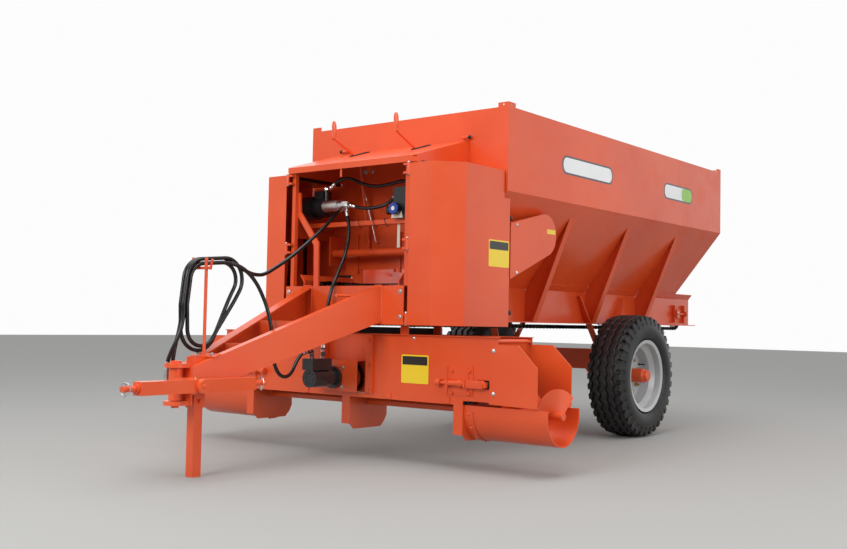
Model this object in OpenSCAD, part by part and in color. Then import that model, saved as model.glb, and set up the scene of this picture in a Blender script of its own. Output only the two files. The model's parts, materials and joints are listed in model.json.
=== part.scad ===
// Towed manure spreader: a hopper with a floor conveyor that feeds a cross belt
// and two screw troughs under the front compartment.
// +X is forward along the drawbar, +Y is the machine's left, Z = 0 is the ground.
// Sizes along X are measured forward from the hopper's front wall.

/* [Hopper] */
// Length of the hopper
hopper_len = 2980; // [2600:10:3300]
// Width of the hopper at the top
hopper_w = 1500; // [1460:10:1700]
// Height of the hopper's top edge
hopper_top = 1980; // [1900:10:2100]
// Height where the upright band ends and the slope begins
band_bottom = 1510; // [1490:10:1560]
// Thickness of the hopper's sheet
sheet = 5; // [3:1:8]
// Height of the corner brackets
bracket_h = 25; // [15:1:40]
// Number of ribs on each side
rib_count = 3; // [2:1:4]
// Distance between ribs
rib_pitch = 758; // [600:1:800]
// First rib's distance behind the front wall
rib_first = 810; // [700:10:900]
// Height of the ribs' tops
rib_top = 1435; // [1300:5:1450]
// Width of the ribs' folded edge
rib_fold = 50; // [30:1:70]

/* [Rails] */
// Width over the rails' webs
rail_w = 718; // [660:2:740]
// Height of the rails' lower edge
rail_bottom = 788; // [770:1:800]
// Height of the rails' upper edge, where the slope begins
rail_top = 1009; // [1005:1:1040]
// Thickness of the rails
rail_t = 6; // [4:1:10]
// Width of the rails' lower flange
rail_flange = 60; // [40:1:62]
// Length of the rails' upper lip on the slope
rail_lip = 40; // [20:1:60]
// Length of rail behind the hopper
rail_tail = 299; // [220:1:360]
// Height of the cross members under the floor
member_h = 80; // [50:5:90]
// Width of the cross members
member_w = 60; // [40:5:90]

/* [Wheels] */
// Distance of the axle behind the front wall
axle_back = 1760; // [1600:10:1900]
// Outer radius of the tyre
tyre_r = 412; // [400:1:425]
// Height of the ground in the drawing's own heights
ground_z = 30; // [10:1:40]
// Width of the tyre
tyre_w = 274; // [240:2:280]
// Distance between the wheels' middle planes
track = 1236; // [1220:2:1300]
// Radius of the rim's bead seat
bead_r = 228; // [215:1:240]
// Width of the rim over its flanges
rim_w = 236; // [200:2:250]
// Height of the rim's flange
rim_flange = 16; // [10:1:24]
// Thickness of the wheel's disc
disc_t = 9; // [6:1:14]
// Radius of the hub's body
hub_r = 48; // [42:1:60]
// Radius of the hub's wheel flange
hub_flange_r = 112; // [100:1:130]
// Radius of the stub axle
stub_r = 32; // [26:1:36]
// Running clearance round pins and shafts
run_gap = 0.05; // [0.02:0.01:0.1]
// Height of the axle beam
axle_h = 140; // [100:5:150]
// Depth of the axle beam along the machine
axle_d = 110; // [80:5:140]

/* [Drawbar] */
// Distance of the crossbeam's face ahead of the front wall
cross_x = 505; // [480:5:540]
// Depth of the crossbeam
cross_d = 60; // [50:2:80]
// Width of the crossbeam
cross_w = 880; // [860:2:884]
// Lower edge of the crossbeam
cross_bottom = 762; // [750:1:775]
// Upper edge of the crossbeam
cross_top = 971; // [940:1:1000]
// Distance of the nose ahead of the front wall
nose_x = 1578; // [1500:5:1650]
// Half the drawbar's width at the crossbeam
beam_y_rear = 290; // [250:5:330]
// Half the drawbar's width at the nose
beam_y_nose = 60; // [58:1:70]
// Width of a drawbar beam
beam_w = 55; // [40:1:56]
// Thickness of the drawbar's plate
beam_t = 8; // [5:1:12]
// Height of a beam at the nose
beam_h_nose = 131; // [110:1:150]
// Lower edge of the beams at the nose
nose_bottom = 419; // [410:1:440]
// Lower edge of the beams at the crossbeam
beam_bottom_rear = 775; // [765:1:800]
// Thickness of the fork's ears
ear_t = 20; // [14:1:24]
// Radius of the king pin
king_r = 18; // [14:0.5:22]

/* [Hitch bar] */
// Distance between the shoulders of the link pins
link_span = 683; // [600:1:800]
// Radius of a link pin
link_r = 14.3; // [11:0.1:18.3]
// Length of a link pin
link_len = 65; // [50:1:90]
// Side of the square bar
bar_side = 60; // [50:1:62]
// Distance of the bar's middle from the king pin
bar_off = 160; // [150:1:180]
// Height of the bar's middle
bar_z = 470; // [462:1:476]

/* [Parking leg] */
// Side of the leg's square tube
leg_side = 50; // [40:1:54]
// Sliding clearance of the leg in its sleeve
leg_gap = 0.6; // [0.4:0.1:0.9]
// Distance of the leg ahead of the front wall
leg_x = 1510; // [1495:1:1520]
// Length of the leg
leg_len = 580; // [520:5:640]
// Lower end of the sleeve
sleeve_bottom = 355; // [330:1:380]

/* [Front compartment] */
// Half width of the roof
roof_y = 487; // [470:1:495]
// Height of the roof's front edge
roof_front = 1663; // [1640:1:1700]
// Height of the roof's rear edge
roof_rear = 1813; // [1760:1:1860]
// Thickness of the roof and door sheets
skin = 4; // [3:0.5:6]
// Height of the roof's front lip
roof_lip = 34; // [20:1:36]
// Half width of the doors' outer faces
door_y = 737; // [725:1:742]
// Lower edge of the doors
door_bottom = 762; // [750:1:780]
// Upper edge of the doors
door_top = 1620; // [1560:1:1624]
// Distance of the doors' hinge line outside the crossbeam's end
hinge_out = 14; // [12:1:20]
// Width of the doors' front strip
door_strip = 150; // [120:1:170]
// Depth of the doors' slanted corner
door_corner = 134; // [100:1:150]
// Distance the doors reach behind the front wall
door_tail = 47; // [30:1:60]
// Opening angle is about the hinge pin of this radius
hinge_r = 5; // [4:0.5:6]

/* [Cross conveyor] */
// Front face of the box
box_front = 450; // [440:1:460]
// Rear face of the box
box_rear = 130; // [110:1:150]
// Lower edge of the box
box_bottom = 385; // [380:1:395]
// Upper edge of the box
box_top = 708; // [690:1:712]
// Half width of the box
box_y = 1007; // [980:1:1020]
// Half width of the middle bay with the drive
bay_y = 182; // [165:1:190]
// Half width over the chutes
chute_y = 1241; // [1200:1:1260]
// Distance of the end rollers from the middle
roller_y = 927; // [900:1:940]
// Height of the rollers' axis
roller_z = 472; // [468:1:490]
// Radius of the end rollers
roller_r = 50; // [40:1:56]
// Thickness of the belt
belt_t = 8; // [5:1:10]

/* [Screw conveyor] */
// Distance of the screw's axis ahead of the front wall
screw_x = 280; // [275:1:285]
// Height of the screw's axis
screw_z = 330; // [325:1:334]
// Inner radius of the troughs
trough_r = 148; // [144:1:149]
// Thickness of the troughs
trough_t = 5; // [3:0.5:6]
// Half width over the troughs
trough_y = 1288; // [1250:1:1320]
// Height of the troughs' rims
trough_top = 362; // [350:1:372]
// Radius of the screw's flights
flight_r = 132; // [100:1:136]
// Radius of the screw's tube
screw_r = 21; // [18:0.5:26]
// Pitch of the flights
flight_pitch = 200; // [160:5:240]
// Thickness of the hangers
hanger_t = 6; // [4:1:8]

/* [Floor conveyor] */
// Radius of the chain's path round the shafts
chain_r = 116; // [112:1:124]
// Thickness of the chain
chain_t = 20; // [14:1:20]
// Width of the chain
chain_w = 22; // [16:1:26]
// Distance of the chains from the middle
chain_y = 324; // [300:1:328]
// Distance of the front shaft ahead of the front wall
drive_x = 280; // [250:5:295]
// Distance of the rear shaft behind the hopper
idler_back = 80; // [60:1:100]
// Height of both shafts
shaft_z = 880; // [878:1:882]
// Distance between slats
slat_pitch = 300; // [200:10:400]
// Radius of the shafts
shaft_r = 20; // [16:1:28]

/* [Beater] */
// Distance of the beater behind the front wall
beater_back = 430; // [420:5:450]
// Height of the beater's shaft
beater_z = 1290; // [1280:5:1300]
// Radius of the beater's shaft
beater_shaft_r = 28; // [22:1:30]
// Radius over the beater's tines
beater_r = 190; // [150:5:220]
// Number of tine rows
tine_rows = 9; // [5:1:11]
// Distance of the guard's face from the middle
guard_y = 720; // [716:1:724]

/* [Hidden] */
$fn = 48;
paint = "#e0562f";
dark_paint = "#b8401f";
black = "#1c1c1e";
steel = "#c9ccd0";
rubber = "#202124";

// Gap left between pieces that only seat on each other
seat = 0.3;
// The origin lies under the middle of the whole length
front_reach = nose_x + 50 + link_span / 2 + link_len;
rear_reach = hopper_len + rail_tail;
origin_shift = (rear_reach - front_reach) / 2;

// Hopper and rails
hopper_y = hopper_w / 2;
rail_y = rail_w / 2;
slope_run = hopper_y - rail_y;
slope_rise = band_bottom - rail_top;
slope_len = sqrt(slope_run * slope_run + slope_rise * slope_rise);
slope_u = [slope_run / slope_len, slope_rise / slope_len];
slope_n = [slope_u[1], -slope_u[0]];
function slope_y(z) = rail_y + (z - rail_top) * slope_run / slope_rise;
rail_front = cross_x - cross_d;
rail_rear = -rear_reach;
floor_top = shaft_z + chain_r - chain_t / 2;

// Drawbar beams run inwards from the crossbeam to the nose
king_x = nose_x + 50;
beam_run = nose_x - cross_x;
beam_angle = atan2(beam_y_rear - beam_y_nose, beam_run);
nose_top = nose_bottom + beam_h_nose;
function beam_outer(x) = beam_y_rear - (x - cross_x) * (beam_y_rear - beam_y_nose) / beam_run;
function beam_inner(x) = beam_outer(x) - beam_w / cos(beam_angle);
function beam_top(x) = cross_top + (x - cross_x) * (nose_top - cross_top) / beam_run;
function beam_bottom(x) = beam_bottom_rear + (x - cross_x) * (nose_bottom - beam_bottom_rear) / beam_run;

// The leg's sleeve stands through the nose
sleeve_half = leg_side / 2 + leg_gap + 6;

// Wheels
axle_x = -axle_back;
wheel_z = tyre_r + ground_z;
wheel_y = track / 2;
beam_z = wheel_z + stub_r;
inner_wheel = wheel_y - tyre_w / 2;

// Doors
hinge_x = cross_x - 6;
hinge_y = cross_w / 2 + hinge_out;
door_front = hinge_x + skin / 2;
door_strip_end = hinge_y + hinge_r + 4 + door_strip;

// Hoses
hose_r = 10;
coil_bend = 95;
coil_knots = [[1450, 729], [1455, 838], [1440, 960], [1305, 972]];
coil_band = 22;
coil_y = -54;
feed_route = [
    [1264, -65, 1069], [1222, -64, 1050], [1180, -62, 1030], [1137, -60, 1014], [1092, -60, 1006],
    [1046, -63, 1008], [1000, -69, 1022], [950, -77, 1044], [890, -85, 1073], [830, -91, 1105], [770, -97, 1141],
    [710, -104, 1178], [650, -111, 1217], [590, -118, 1257], [530, -125, 1298], [470, -134, 1342],
    [420, -142, 1382], [382, -148, 1410], [352, -150, 1428]];
return_route = [
    [1300, -38, 1055.5], [1262, -27, 1048], [1222, -21, 1034], [1182, -20, 1012], [1144, -20, 982],
    [1110, -19, 944], [1082, -16, 898], [1060, -10, 848], [1046, -2, 794], [1038, 6, 740], [1036, 13, 686],
    [1036, 20, 630], [1034, 26, 574],
    [1014, 26, 526], [976, 16, 494], [926, 0, 482], [876, -22, 488], [830, -44, 508],
    [792, -62, 540], [758, -72, 574], [724, -75, 600], [694, -75, 608]];
link_route = [
    [318, -152, 1422], [322, -140, 1376], [332, -118, 1326], [346, -104, 1272], [362, -98, 1216],
    [386, -92, 1160], [420, -82, 1108], [460, -68, 1060], [500, -54, 1014], [532, -48, 964],
    [550, -50, 910], [560, -54, 852], [566, -60, 792], [568, -67, 732], [566, -73, 676], [565, -75, 627.5]];
tail_one = [
    [1539, -74, 800], [1541, -84, 760], [1547, -90, 715], [1558, -93, 665], [1568, -95, 610], [1572, -97, 560],
    [1570, -97, 510]];
tail_two = [
    [1561, -43, 770], [1572, -44, 722], [1586, -52, 676], [1598, -66, 634], [1605, -82, 594], [1606, -93, 560],
    [1604, -97, 530]];
motor_hose_a = [
    [282, -320, 1560], [274, -282, 1592], [262, -230, 1612], [254, -176, 1608], [248, -120, 1586],
    [244, -60, 1566], [240, 0, 1556], [234, 60, 1558], [228, 120, 1566], [226, 172, 1574], [232, 216, 1570],
    [238, 246, 1552], [240, 256, 1531]];
motor_hose_b = [
    [318, -126, 1446], [312, -80, 1432], [302, -30, 1424], [290, 20, 1424], [276, 70, 1432], [262, 112, 1448],
    [254, 142, 1470], [250, 160, 1488], [248, 183, 1500]];

// Helpers: profiles drawn in YZ or XZ and run along the other axis
module placed() { translate([origin_shift, 0, -ground_z]) children(); }
module both() { children(); mirror([0, 1, 0]) children(); }
module along_x(x0, x1) { translate([x0, 0, 0]) rotate([90, 0, 90]) linear_extrude(x1 - x0) children(); }
module along_y(y0, y1) { translate([0, y1, 0]) rotate([90, 0, 0]) linear_extrude(y1 - y0) children(); }
module block(a, b) { translate(a) cube(b - a); }
module rod_x(p, len, r) { translate(p) rotate([0, 90, 0]) cylinder(h = len, r = r); }
module rod_y(p, len, r) { translate(p) rotate([-90, 0, 0]) cylinder(h = len, r = r); }
module rod_z(p, len, r) { translate(p) cylinder(h = len, r = r); }
module rod(p, q, r) {
    d = q - p;
    translate(p) rotate([0, acos(d[2] / norm(d)), atan2(d[1], d[0])]) cylinder(h = norm(d), r = r);
}

// A tube swept along hand-chosen points
hose_sides = 8;
function unit(v) = v / norm(v);
function tangent(p, i) = unit(p[min(i + 1, len(p) - 1)] - p[max(i - 1, 0)]);
function across(t) = unit(cross(t, abs(t[1]) > 0.9 ? [1, 0, 0] : [0, 1, 0]));
function ring(p, i, r) =
    let (t = tangent(p, i), a = across(t), b = cross(t, a))
    [for (k = [0 : hose_sides - 1])
        p[i] + r * (cos(360 * k / hose_sides) * a + sin(360 * k / hose_sides) * b)];
module swept(p, r) {
    n = len(p);
    m = hose_sides;
    polyhedron(
        points = [for (i = [0 : n - 1]) for (q = ring(p, i, r)) q],
        faces = concat(
            [[for (k = [0 : m - 1]) m - 1 - k]],
            [for (i = [0 : n - 2]) for (k = [0 : m - 1])
                each [[i * m + k, i * m + (k + 1) % m, (i + 1) * m + k],
                      [i * m + (k + 1) % m, (i + 1) * m + (k + 1) % m, (i + 1) * m + k]]],
            [[for (k = [0 : m - 1]) (n - 1) * m + k]]));
}

// Rails: a folded channel whose upper lip lies on the hopper's slope
module rail_profile() {
    lip_tip = [rail_y, rail_top] + rail_lip * slope_u;
    lip_foot = rail_top - rail_t * (slope_u[0] + slope_u[1] * slope_u[1] / slope_u[0]);
    polygon([
        [rail_y - rail_t, rail_bottom], [rail_y + rail_flange, rail_bottom],
        [rail_y + rail_flange, rail_bottom + rail_t], [rail_y, rail_bottom + rail_t],
        [rail_y, lip_foot], lip_tip + rail_t * slope_n, lip_tip, [rail_y, rail_top],
        [rail_y - rail_t, rail_top]]);
}
idler_x = -hopper_len - idler_back;
slot_half = 60;
module side_rails() {
    color(paint) placed() both() difference() {
        along_x(rail_rear, rail_front) rail_profile();
        block([idler_x - slot_half, rail_y - rail_t - 1, shaft_z - shaft_r - 1],
              [idler_x + slot_half, rail_y + 1, shaft_z + shaft_r + 1]);
        rod_y([drive_x, rail_y - rail_t - 1, shaft_z], rail_t + 2, shaft_r + 1);
    }
}

module front_crossbeam() {
    color(paint) placed() difference() {
        block([cross_x - cross_d, -cross_w / 2, cross_bottom], [cross_x, cross_w / 2, cross_top]);
        block([cross_x - cross_d + rail_t, -cross_w / 2 - 1, cross_bottom + rail_t],
              [cross_x - rail_t, cross_w / 2 + 1, cross_top - rail_t]);
    }
}

member_z = rail_bottom + 14;
module cross_members() {
    inner = rail_y - rail_t;
    color(paint) placed()
    for (x = [-250, -axle_back / 2 - 120, axle_x, -hopper_len + 380])
        difference() {
            block([x - member_w / 2, -inner, member_z], [x + member_w / 2, inner, member_z + member_h]);
            block([x - member_w / 2 + 5, -inner - 1, member_z + 5],
                  [x + member_w / 2 - 5, inner + 1, member_z + member_h - 5]);
        }
}

// A drawbar beam is a tapered channel, open to the inside
module beam_side(inset) {
    far = beam_run + 80;
    near = -80;
    near_x = cross_x + near * cos(beam_angle);
    far_x = cross_x + far * cos(beam_angle);
    polygon([
        [near, beam_bottom(near_x) + inset], [far, beam_bottom(far_x) + inset],
        [far, beam_top(far_x) - inset], [near, beam_top(near_x) - inset]]);
}
module drawbar_beam() {
    difference() {
        intersection() {
            translate([cross_x, beam_y_rear, 0]) rotate([0, 0, -beam_angle])
            difference() {
                along_y(-beam_w, 0) beam_side(0);
                along_y(-beam_w - 1, -beam_t) beam_side(beam_t);
            }
            block([cross_x, 1, 300], [nose_x, 400, 1100]);
        }
        block([leg_x - sleeve_half - seat, 0, 300], [leg_x + sleeve_half + seat, sleeve_half + seat, 1000]);
    }
}
module drawbar_beams() { color(paint) placed() both() drawbar_beam(); }

// Folded cross plates between the beams, cut to their inner faces
module cross_plate(x, depth, height) {
    a = x - depth / 2;
    b = x + depth / 2;
    z = beam_top(b) - 6;
    difference() {
        translate([0, 0, z - height]) linear_extrude(height)
            polygon([[a, -beam_inner(a)], [b, -beam_inner(b)], [b, beam_inner(b)], [a, beam_inner(a)]]);
        block([a - 1, -beam_y_rear, z - height - 1], [b - 6, beam_y_rear, z - 6]);
    }
}
module drawbar_plates() {
    color(paint) placed() {
        cross_plate(1255, 70, 60);
        cross_plate(960, 70, 80);
    }
}

// The nose carries a fork that holds the king pin upright
ear_low = nose_bottom - 47;
ear_high = nose_top - 3;
ear_reach = 52;
fork_y = 54;
module nose_fork() {
    color(paint) placed() {
        block([nose_x, -beam_y_nose, ear_low], [nose_x + 10, beam_y_nose, ear_high + ear_t]);
        for (z = [ear_low, ear_high])
            along_z_ear(z);
        rod_z([king_x, 0, ear_low - 12], ear_high - ear_low + ear_t + 24, king_r);
        rod_z([king_x, 0, ear_high + ear_t], 10, king_r + 8);
    }
}
module along_z_ear(z) {
    translate([0, 0, z]) linear_extrude(ear_t) union() {
        translate([nose_x + 10, -fork_y]) square([king_x - nose_x - 10, 2 * fork_y]);
        translate([king_x, 0]) circle(r = fork_y);
    }
}

module leg_sleeve() {
    top = beam_top(leg_x) + 20;
    color(paint) placed() {
        difference() {
            block([leg_x - sleeve_half, -sleeve_half, sleeve_bottom], [leg_x + sleeve_half, sleeve_half, top]);
            block([leg_x - sleeve_half + 6, -sleeve_half + 6, sleeve_bottom - 1],
                  [leg_x + sleeve_half - 6, sleeve_half - 6, top + 1]);
        }
        rod_y([leg_x, sleeve_half, sleeve_bottom + 32], 16, 9);
    }
}

// A round rod with two hooks carries the rolled-up hoses
stand_x = 1465;
stand_r = 7;
coil_inner = coil_bend - coil_band;
hook_z = coil_knots[2][1] + sqrt(pow(coil_inner, 2) - pow(stand_x - coil_knots[2][0], 2)) - 1.4;
hook_reach = 86;
hook_short = 34;
module hose_stand() {
    slope = atan2(cross_top - nose_top, beam_run);
    color(paint) placed() {
        translate([stand_x, 0, beam_top(stand_x) + seat]) rotate([0, slope, 0])
            block([-30, -beam_outer(stand_x) - 8, 0], [8, beam_outer(stand_x) + 8, 6]);
        rod_z([stand_x, 0, beam_top(stand_x) + 3], hook_z - beam_top(stand_x) + 40, stand_r + 1);
        rod_y([stand_x, -hook_reach, hook_z - stand_r], hook_reach + hook_short, stand_r);
        rod([stand_x, hook_short - 4, hook_z - stand_r - 8], [stand_x, hook_short + 10, hook_z + 34], stand_r - 1);
        rod([stand_x, 4 - hook_reach, hook_z - stand_r - 8], [stand_x, -hook_reach - 14, hook_z + 44], stand_r - 1);
    }
}

// Hopper panels: upright band and slope in one bent sheet on each side
module hopper_side_profile() {
    inner_bend = band_bottom + sheet * (1 - slope_u[0]) / slope_u[1];
    polygon([
        [rail_y, rail_top], [hopper_y, band_bottom], [hopper_y, hopper_top], [hopper_y - sheet, hopper_top],
        [hopper_y - sheet, inner_bend], [rail_y - sheet / slope_u[1], rail_top]]);
}
beater_x = -beater_back;
module hopper_side() {
    difference() {
        along_x(-hopper_len + sheet, -sheet) hopper_side_profile();
        rod_y([beater_x, rail_y, beater_z], hopper_y, beater_shaft_r + 8);
    }
}
module hopper_left() { color(paint) placed() hopper_side(); }
module hopper_right() { color(paint) placed() mirror([0, 1, 0]) hopper_side(); }
module hopper_end_profile() {
    polygon([
        [rail_y, rail_top], [hopper_y, band_bottom], [hopper_y, hopper_top],
        [-hopper_y, hopper_top], [-hopper_y, band_bottom], [-rail_y, rail_top]]);
}
// Wings close the corners between the slopes and the doors
wing_y = door_y - skin - 8;
wing_low = rail_top + 36;
module front_wings() {
    wing_high = rail_top + (wing_y - rail_y) * slope_rise / slope_run;
    foot = slope_y(wing_low) - 6;
    polygon([[foot, wing_low], [wing_y, wing_low], [wing_y, wing_high], [wing_y - 6, wing_high]]);
    polygon([[-wing_y, wing_low], [-foot, wing_low], [6 - wing_y, wing_high], [-wing_y, wing_high]]);
}
mouth_y = 300;
mouth_top = 1250;
module hopper_front() {
    color(paint) placed() difference() {
        along_x(-sheet, 0) {
            hopper_end_profile();
            front_wings();
        }
        block([-sheet - 1, -mouth_y, rail_top - 1], [1, mouth_y, mouth_top]);
    }
}
module hopper_rear() {
    color(paint) placed() along_x(-hopper_len, -hopper_len + sheet) hopper_end_profile();
}

// Ribs stand on the rail and lean against the slope
rib_foot = rail_y + 71;
module rib_outline() {
    lip_z = rail_top + rail_lip * slope_u[1] + 9;
    polygon([
        [slope_y(rib_top), rib_top], [slope_y(lip_z), lip_z],
        [slope_y(lip_z), lip_z - 14], [rail_y, rail_top - 22], [rail_y, rail_bottom + rail_t],
        [rib_foot, rail_bottom + rail_t]]);
}
module rib_edge() {
    top = [slope_y(rib_top), rib_top];
    foot = [rib_foot, rail_bottom + rail_t];
    side = unit(top - foot);
    inward = [-side[1], side[0]];
    polygon([foot, top, top - 26 * side + 6 * inward, foot + 6 * inward]);
}
module hopper_ribs() {
    color(paint) placed() both()
    for (i = [0 : rib_count - 1]) {
        x = -rib_first - i * rib_pitch;
        along_x(x - 3, x + 3) rib_outline();
        along_x(x - rib_fold / 2, x - 3) rib_edge();
        along_x(x + 3, x + rib_fold / 2) rib_edge();
    }
}

// Angle brackets with a hole stand on the four top corners
bracket_len = 70;
module corner_bracket() {
    difference() {
        union() {
            block([-bracket_len, hopper_y - sheet, hopper_top], [0, hopper_y, hopper_top + bracket_h]);
            block([-sheet, hopper_y - bracket_len, hopper_top], [0, hopper_y - sheet, hopper_top + bracket_h]);
        }
        rod_y([-bracket_len / 2, hopper_y - sheet - 1, hopper_top + bracket_h / 2], sheet + 2, 6);
        rod_x([-sheet - 1, hopper_y - bracket_len / 2, hopper_top + bracket_h / 2], sheet + 2, 6);
    }
}
module corner_brackets() {
    color(paint) placed() both() {
        corner_bracket();
        translate([-hopper_len, 0, 0]) mirror([1, 0, 0]) corner_bracket();
    }
}

module hopper_floor() {
    inner = rail_y - rail_t;
    color(dark_paint) placed()
        block([idler_x + chain_r + 20, -inner, floor_top - 6], [drive_x - chain_r - 20, inner, floor_top]);
}

// The floor conveyor: two chains round both shafts, with slats across
module chain_loop(grow) {
    hull() {
        translate([drive_x, shaft_z]) circle(r = chain_r + grow);
        translate([idler_x, shaft_z]) circle(r = chain_r + grow);
    }
}
module slat(x, z) {
    inner = chain_y - chain_w / 2;
    block([x - 25, -inner, z - 3], [x + 25, inner, z + 3]);
}
module floor_conveyor() {
    run = drive_x - idler_x;
    count = floor(run / slat_pitch);
    color(black) placed() {
        both() along_y(chain_y - chain_w / 2, chain_y + chain_w / 2) difference() {
            chain_loop(chain_t / 2);
            chain_loop(-chain_t / 2);
        }
        for (i = [0 : count - 1]) {
            x = idler_x + (i + 0.5) * run / count;
            slat(x, shaft_z + chain_r);
            slat(x + run / count / 4, shaft_z - chain_r);
        }
    }
}
module conveyor_shafts() {
    inner = rail_y - rail_t;
    color(steel) placed()
    for (x = [drive_x, idler_x]) {
        rod_y([x, -inner - rail_t - 16, shaft_z], 2 * (inner + rail_t + 16), shaft_r);
        both() rod_y([x, chain_y - 6, shaft_z], 12, chain_r - chain_t / 2 - seat);
    }
}

// Screw tensioners at the rails' rear ends
module rear_tensioners() {
    color(paint) placed() both() {
        for (x = [idler_x - 92, idler_x + 84])
            difference() {
                along_x(x, x + 8) union() {
                    translate([rail_y, shaft_z - 70]) square([26, 140]);
                    translate([rail_y + 26, shaft_z]) circle(r = 22);
                }
                rod_x([x - 1, rail_y + 26, shaft_z], 10, 8.3);
            }
        rod_x([idler_x - 110, rail_y + 26, shaft_z], 220, 8);
        difference() {
            block([idler_x - 28, rail_y + seat, shaft_z - 34], [idler_x + 28, rail_y + 17, shaft_z + 34]);
            rod_y([idler_x, rail_y - 1, shaft_z], 40, shaft_r + seat);
        }
    }
}

// Dropped axle: a box beam on top of two stub axles
axle_half = inner_wheel - 28;
module axle() {
    color(paint) placed() {
        difference() {
            block([axle_x - axle_d / 2, -axle_half, beam_z], [axle_x + axle_d / 2, axle_half, beam_z + axle_h]);
            block([axle_x - axle_d / 2 + 8, -axle_half - 1, beam_z + 8],
                  [axle_x + axle_d / 2 - 8, axle_half + 1, beam_z + axle_h - 8]);
        }
        both() {
            along_x(axle_x - 36, axle_x + 36)
                polygon([[axle_half - 170, beam_z], [axle_half - 120, wheel_z - 44],
                         [axle_half, wheel_z - 44], [axle_half, beam_z]]);
            rod_y([axle_x, axle_half - 1, wheel_z], wheel_y + 92 - axle_half, stub_r);
        }
    }
}

// Flat braces run from the rails down to the axle
module strut(dx) {
    top = [axle_x + dx, rail_y + 10, 958];
    foot = [axle_x + sign(dx) * (axle_d / 2 + 2), axle_half - 14, beam_z + 50];
    d = foot - top;
    difference() {
        translate(top) rotate([0, acos(d[2] / norm(d)), atan2(d[1], d[0])])
            block([-4, -26, -20], [4, 26, norm(d) + 30]);
        along_x(rail_rear, rail_front) offset_rail();
        block([axle_x - axle_d / 2, 0, beam_z], [axle_x + axle_d / 2, axle_half + 40, beam_z + axle_h]);
    }
}
module offset_rail() {
    translate([rail_y - 100, rail_bottom]) square([100, rail_top - rail_bottom]);
    translate([rail_y - 1, rail_bottom]) square([rail_flange + 1, rail_t]);
}
module axle_struts() {
    color(paint) placed() both() {
        strut(295);
        strut(-295);
    }
}

// Roof of the compartment with lever slots
lever_y = 235;
lever_foot_x = 120;
function roof_z(x) = roof_rear - (roof_rear - roof_front) * x / roof_edge;
roof_edge = cross_x - 14;
module roof() {
    corner = 26;
    color(paint) placed() difference() {
        union() {
            along_y(-roof_y, roof_y) polygon([
                [0, roof_z(0)], [roof_edge, roof_front], [roof_edge, roof_front - roof_lip],
                [roof_edge - skin, roof_front - roof_lip], [roof_edge - skin, roof_front - skin],
                [0, roof_z(0) - skin]]);
            both() along_y(roof_y - skin, roof_y) polygon([
                [0, roof_z(0) - 1], [roof_edge - 1, roof_front - 1], [roof_edge - 1, roof_front - roof_lip],
                [0, roof_front - roof_lip]]);
        }
        both() {
            translate([roof_edge, roof_y, roof_front - 60]) rotate([0, 0, 45])
                block([-corner / sqrt(2), -80, 0], [80, 80, 100]);
            block([lever_foot_x - 70, lever_y - 8, 1600], [lever_foot_x + 75, lever_y + 8, 1900]);
        }
    }
    half = corner / sqrt(2);
    color(paint) placed() both()
        translate([roof_edge, roof_y, roof_front - roof_lip]) rotate([0, 0, 45])
            block([-half - skin - 0.4, -half + skin, 0], [-half - 0.4, half - skin, roof_lip - skin - 0.4]);
}

// Two sliding gates with their lever rods and bent levers
gate_bottom = 1090;
module gates() {
    bend = [345, lever_y, 1838];
    foot = [lever_foot_x, lever_y, roof_z(lever_foot_x) - 40];
    tip = [352, lever_y, 1938];
    color(paint) placed() {
        both() {
            block([seat, 12, gate_bottom], [8, mouth_y + 25, mouth_top + 30]);
            block([8, lever_y - 12, mouth_top - 60], [30, lever_y + 12, mouth_top + 20]);
            rod([24, lever_y, mouth_top], foot, 8);
            rod(foot, bend, 7);
            rod(bend, tip, 9);
            block([0, mouth_y + 26, rail_top + 60], [16, mouth_y + 46, mouth_top + 60]);
        }
        block([0, -10, rail_top + 60], [16, 10, mouth_top + 60]);
    }
}

// Posts behind the doors carry their hinge pins
post_x = cross_x - cross_d + 2;
module door_posts() {
    color(paint) placed() both() {
        block([post_x, cross_w / 2 - 26, cross_top], [post_x + 26, cross_w / 2, roof_front - roof_lip]);
        for (z = hinge_heights)
            hinge_fixed(z);
    }
}
hinge_heights = [door_bottom + 34, (door_bottom + door_top) / 2, door_top - 27];
knuckle = 34;
module hinge_fixed(z) {
    for (dz = [-knuckle / 2 - 12, knuckle / 2]) {
        rod_z([hinge_x, hinge_y, z + dz], 12, hinge_r + 4);
        hinge_arm(z + dz);
    }
    rod_z([hinge_x, hinge_y, z - knuckle / 2 - 14], knuckle + 28, hinge_r);
}
module hinge_arm(z) {
    back = z < cross_top ? hinge_x - 9 : post_x + 26;
    inner = z < cross_top ? cross_w / 2 : cross_w / 2 - 20;
    block([back, inner, z], [hinge_x + 4, hinge_y - 2, z + 12]);
}

// Frame inside the compartment: shelf, motor plate, bent post and the drive shaft
shelf_z = 1330;
shelf_top = 1356;
motor_end = -560;
module inner_frame() {
    color(paint) placed() {
        block([230, motor_end, shelf_z], [270, cross_w / 2 - 26, shelf_top]);
        for (y = [motor_end, 390])
            block([0, y, shelf_z], [230, y + 20, shelf_top]);
        block([0, motor_end - 12, shelf_z - 60], [330, motor_end, 1535]);
        along_x(post_x - 12, post_x - seat) polygon([
            [-439, 1520], [-434, 1402], [-283, 1208], [-278, cross_top],
            [-240, cross_top], [-245, 1222], [-396, 1408], [-401, 1520]]);
        rod_y([100, -440, 1185], 1120, 24);
        block([0, -452, 1110], [140, -440, 1290]);
    }
}

// Black hydraulic motor and gearbox that drive the floor conveyor
module conveyor_motor() {
    color(black) placed() {
        rod_y([260, motor_end, 1450], 120, 72);
        rod_y([260, -440, 1450], 90, 56);
        rod_y([260, -350, 1450], 26, 46);
        block([225, -432, 1500], [295, -362, 1546]);
        rod_z([282, -348, 1480], 70, 13);
    }
}

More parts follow.
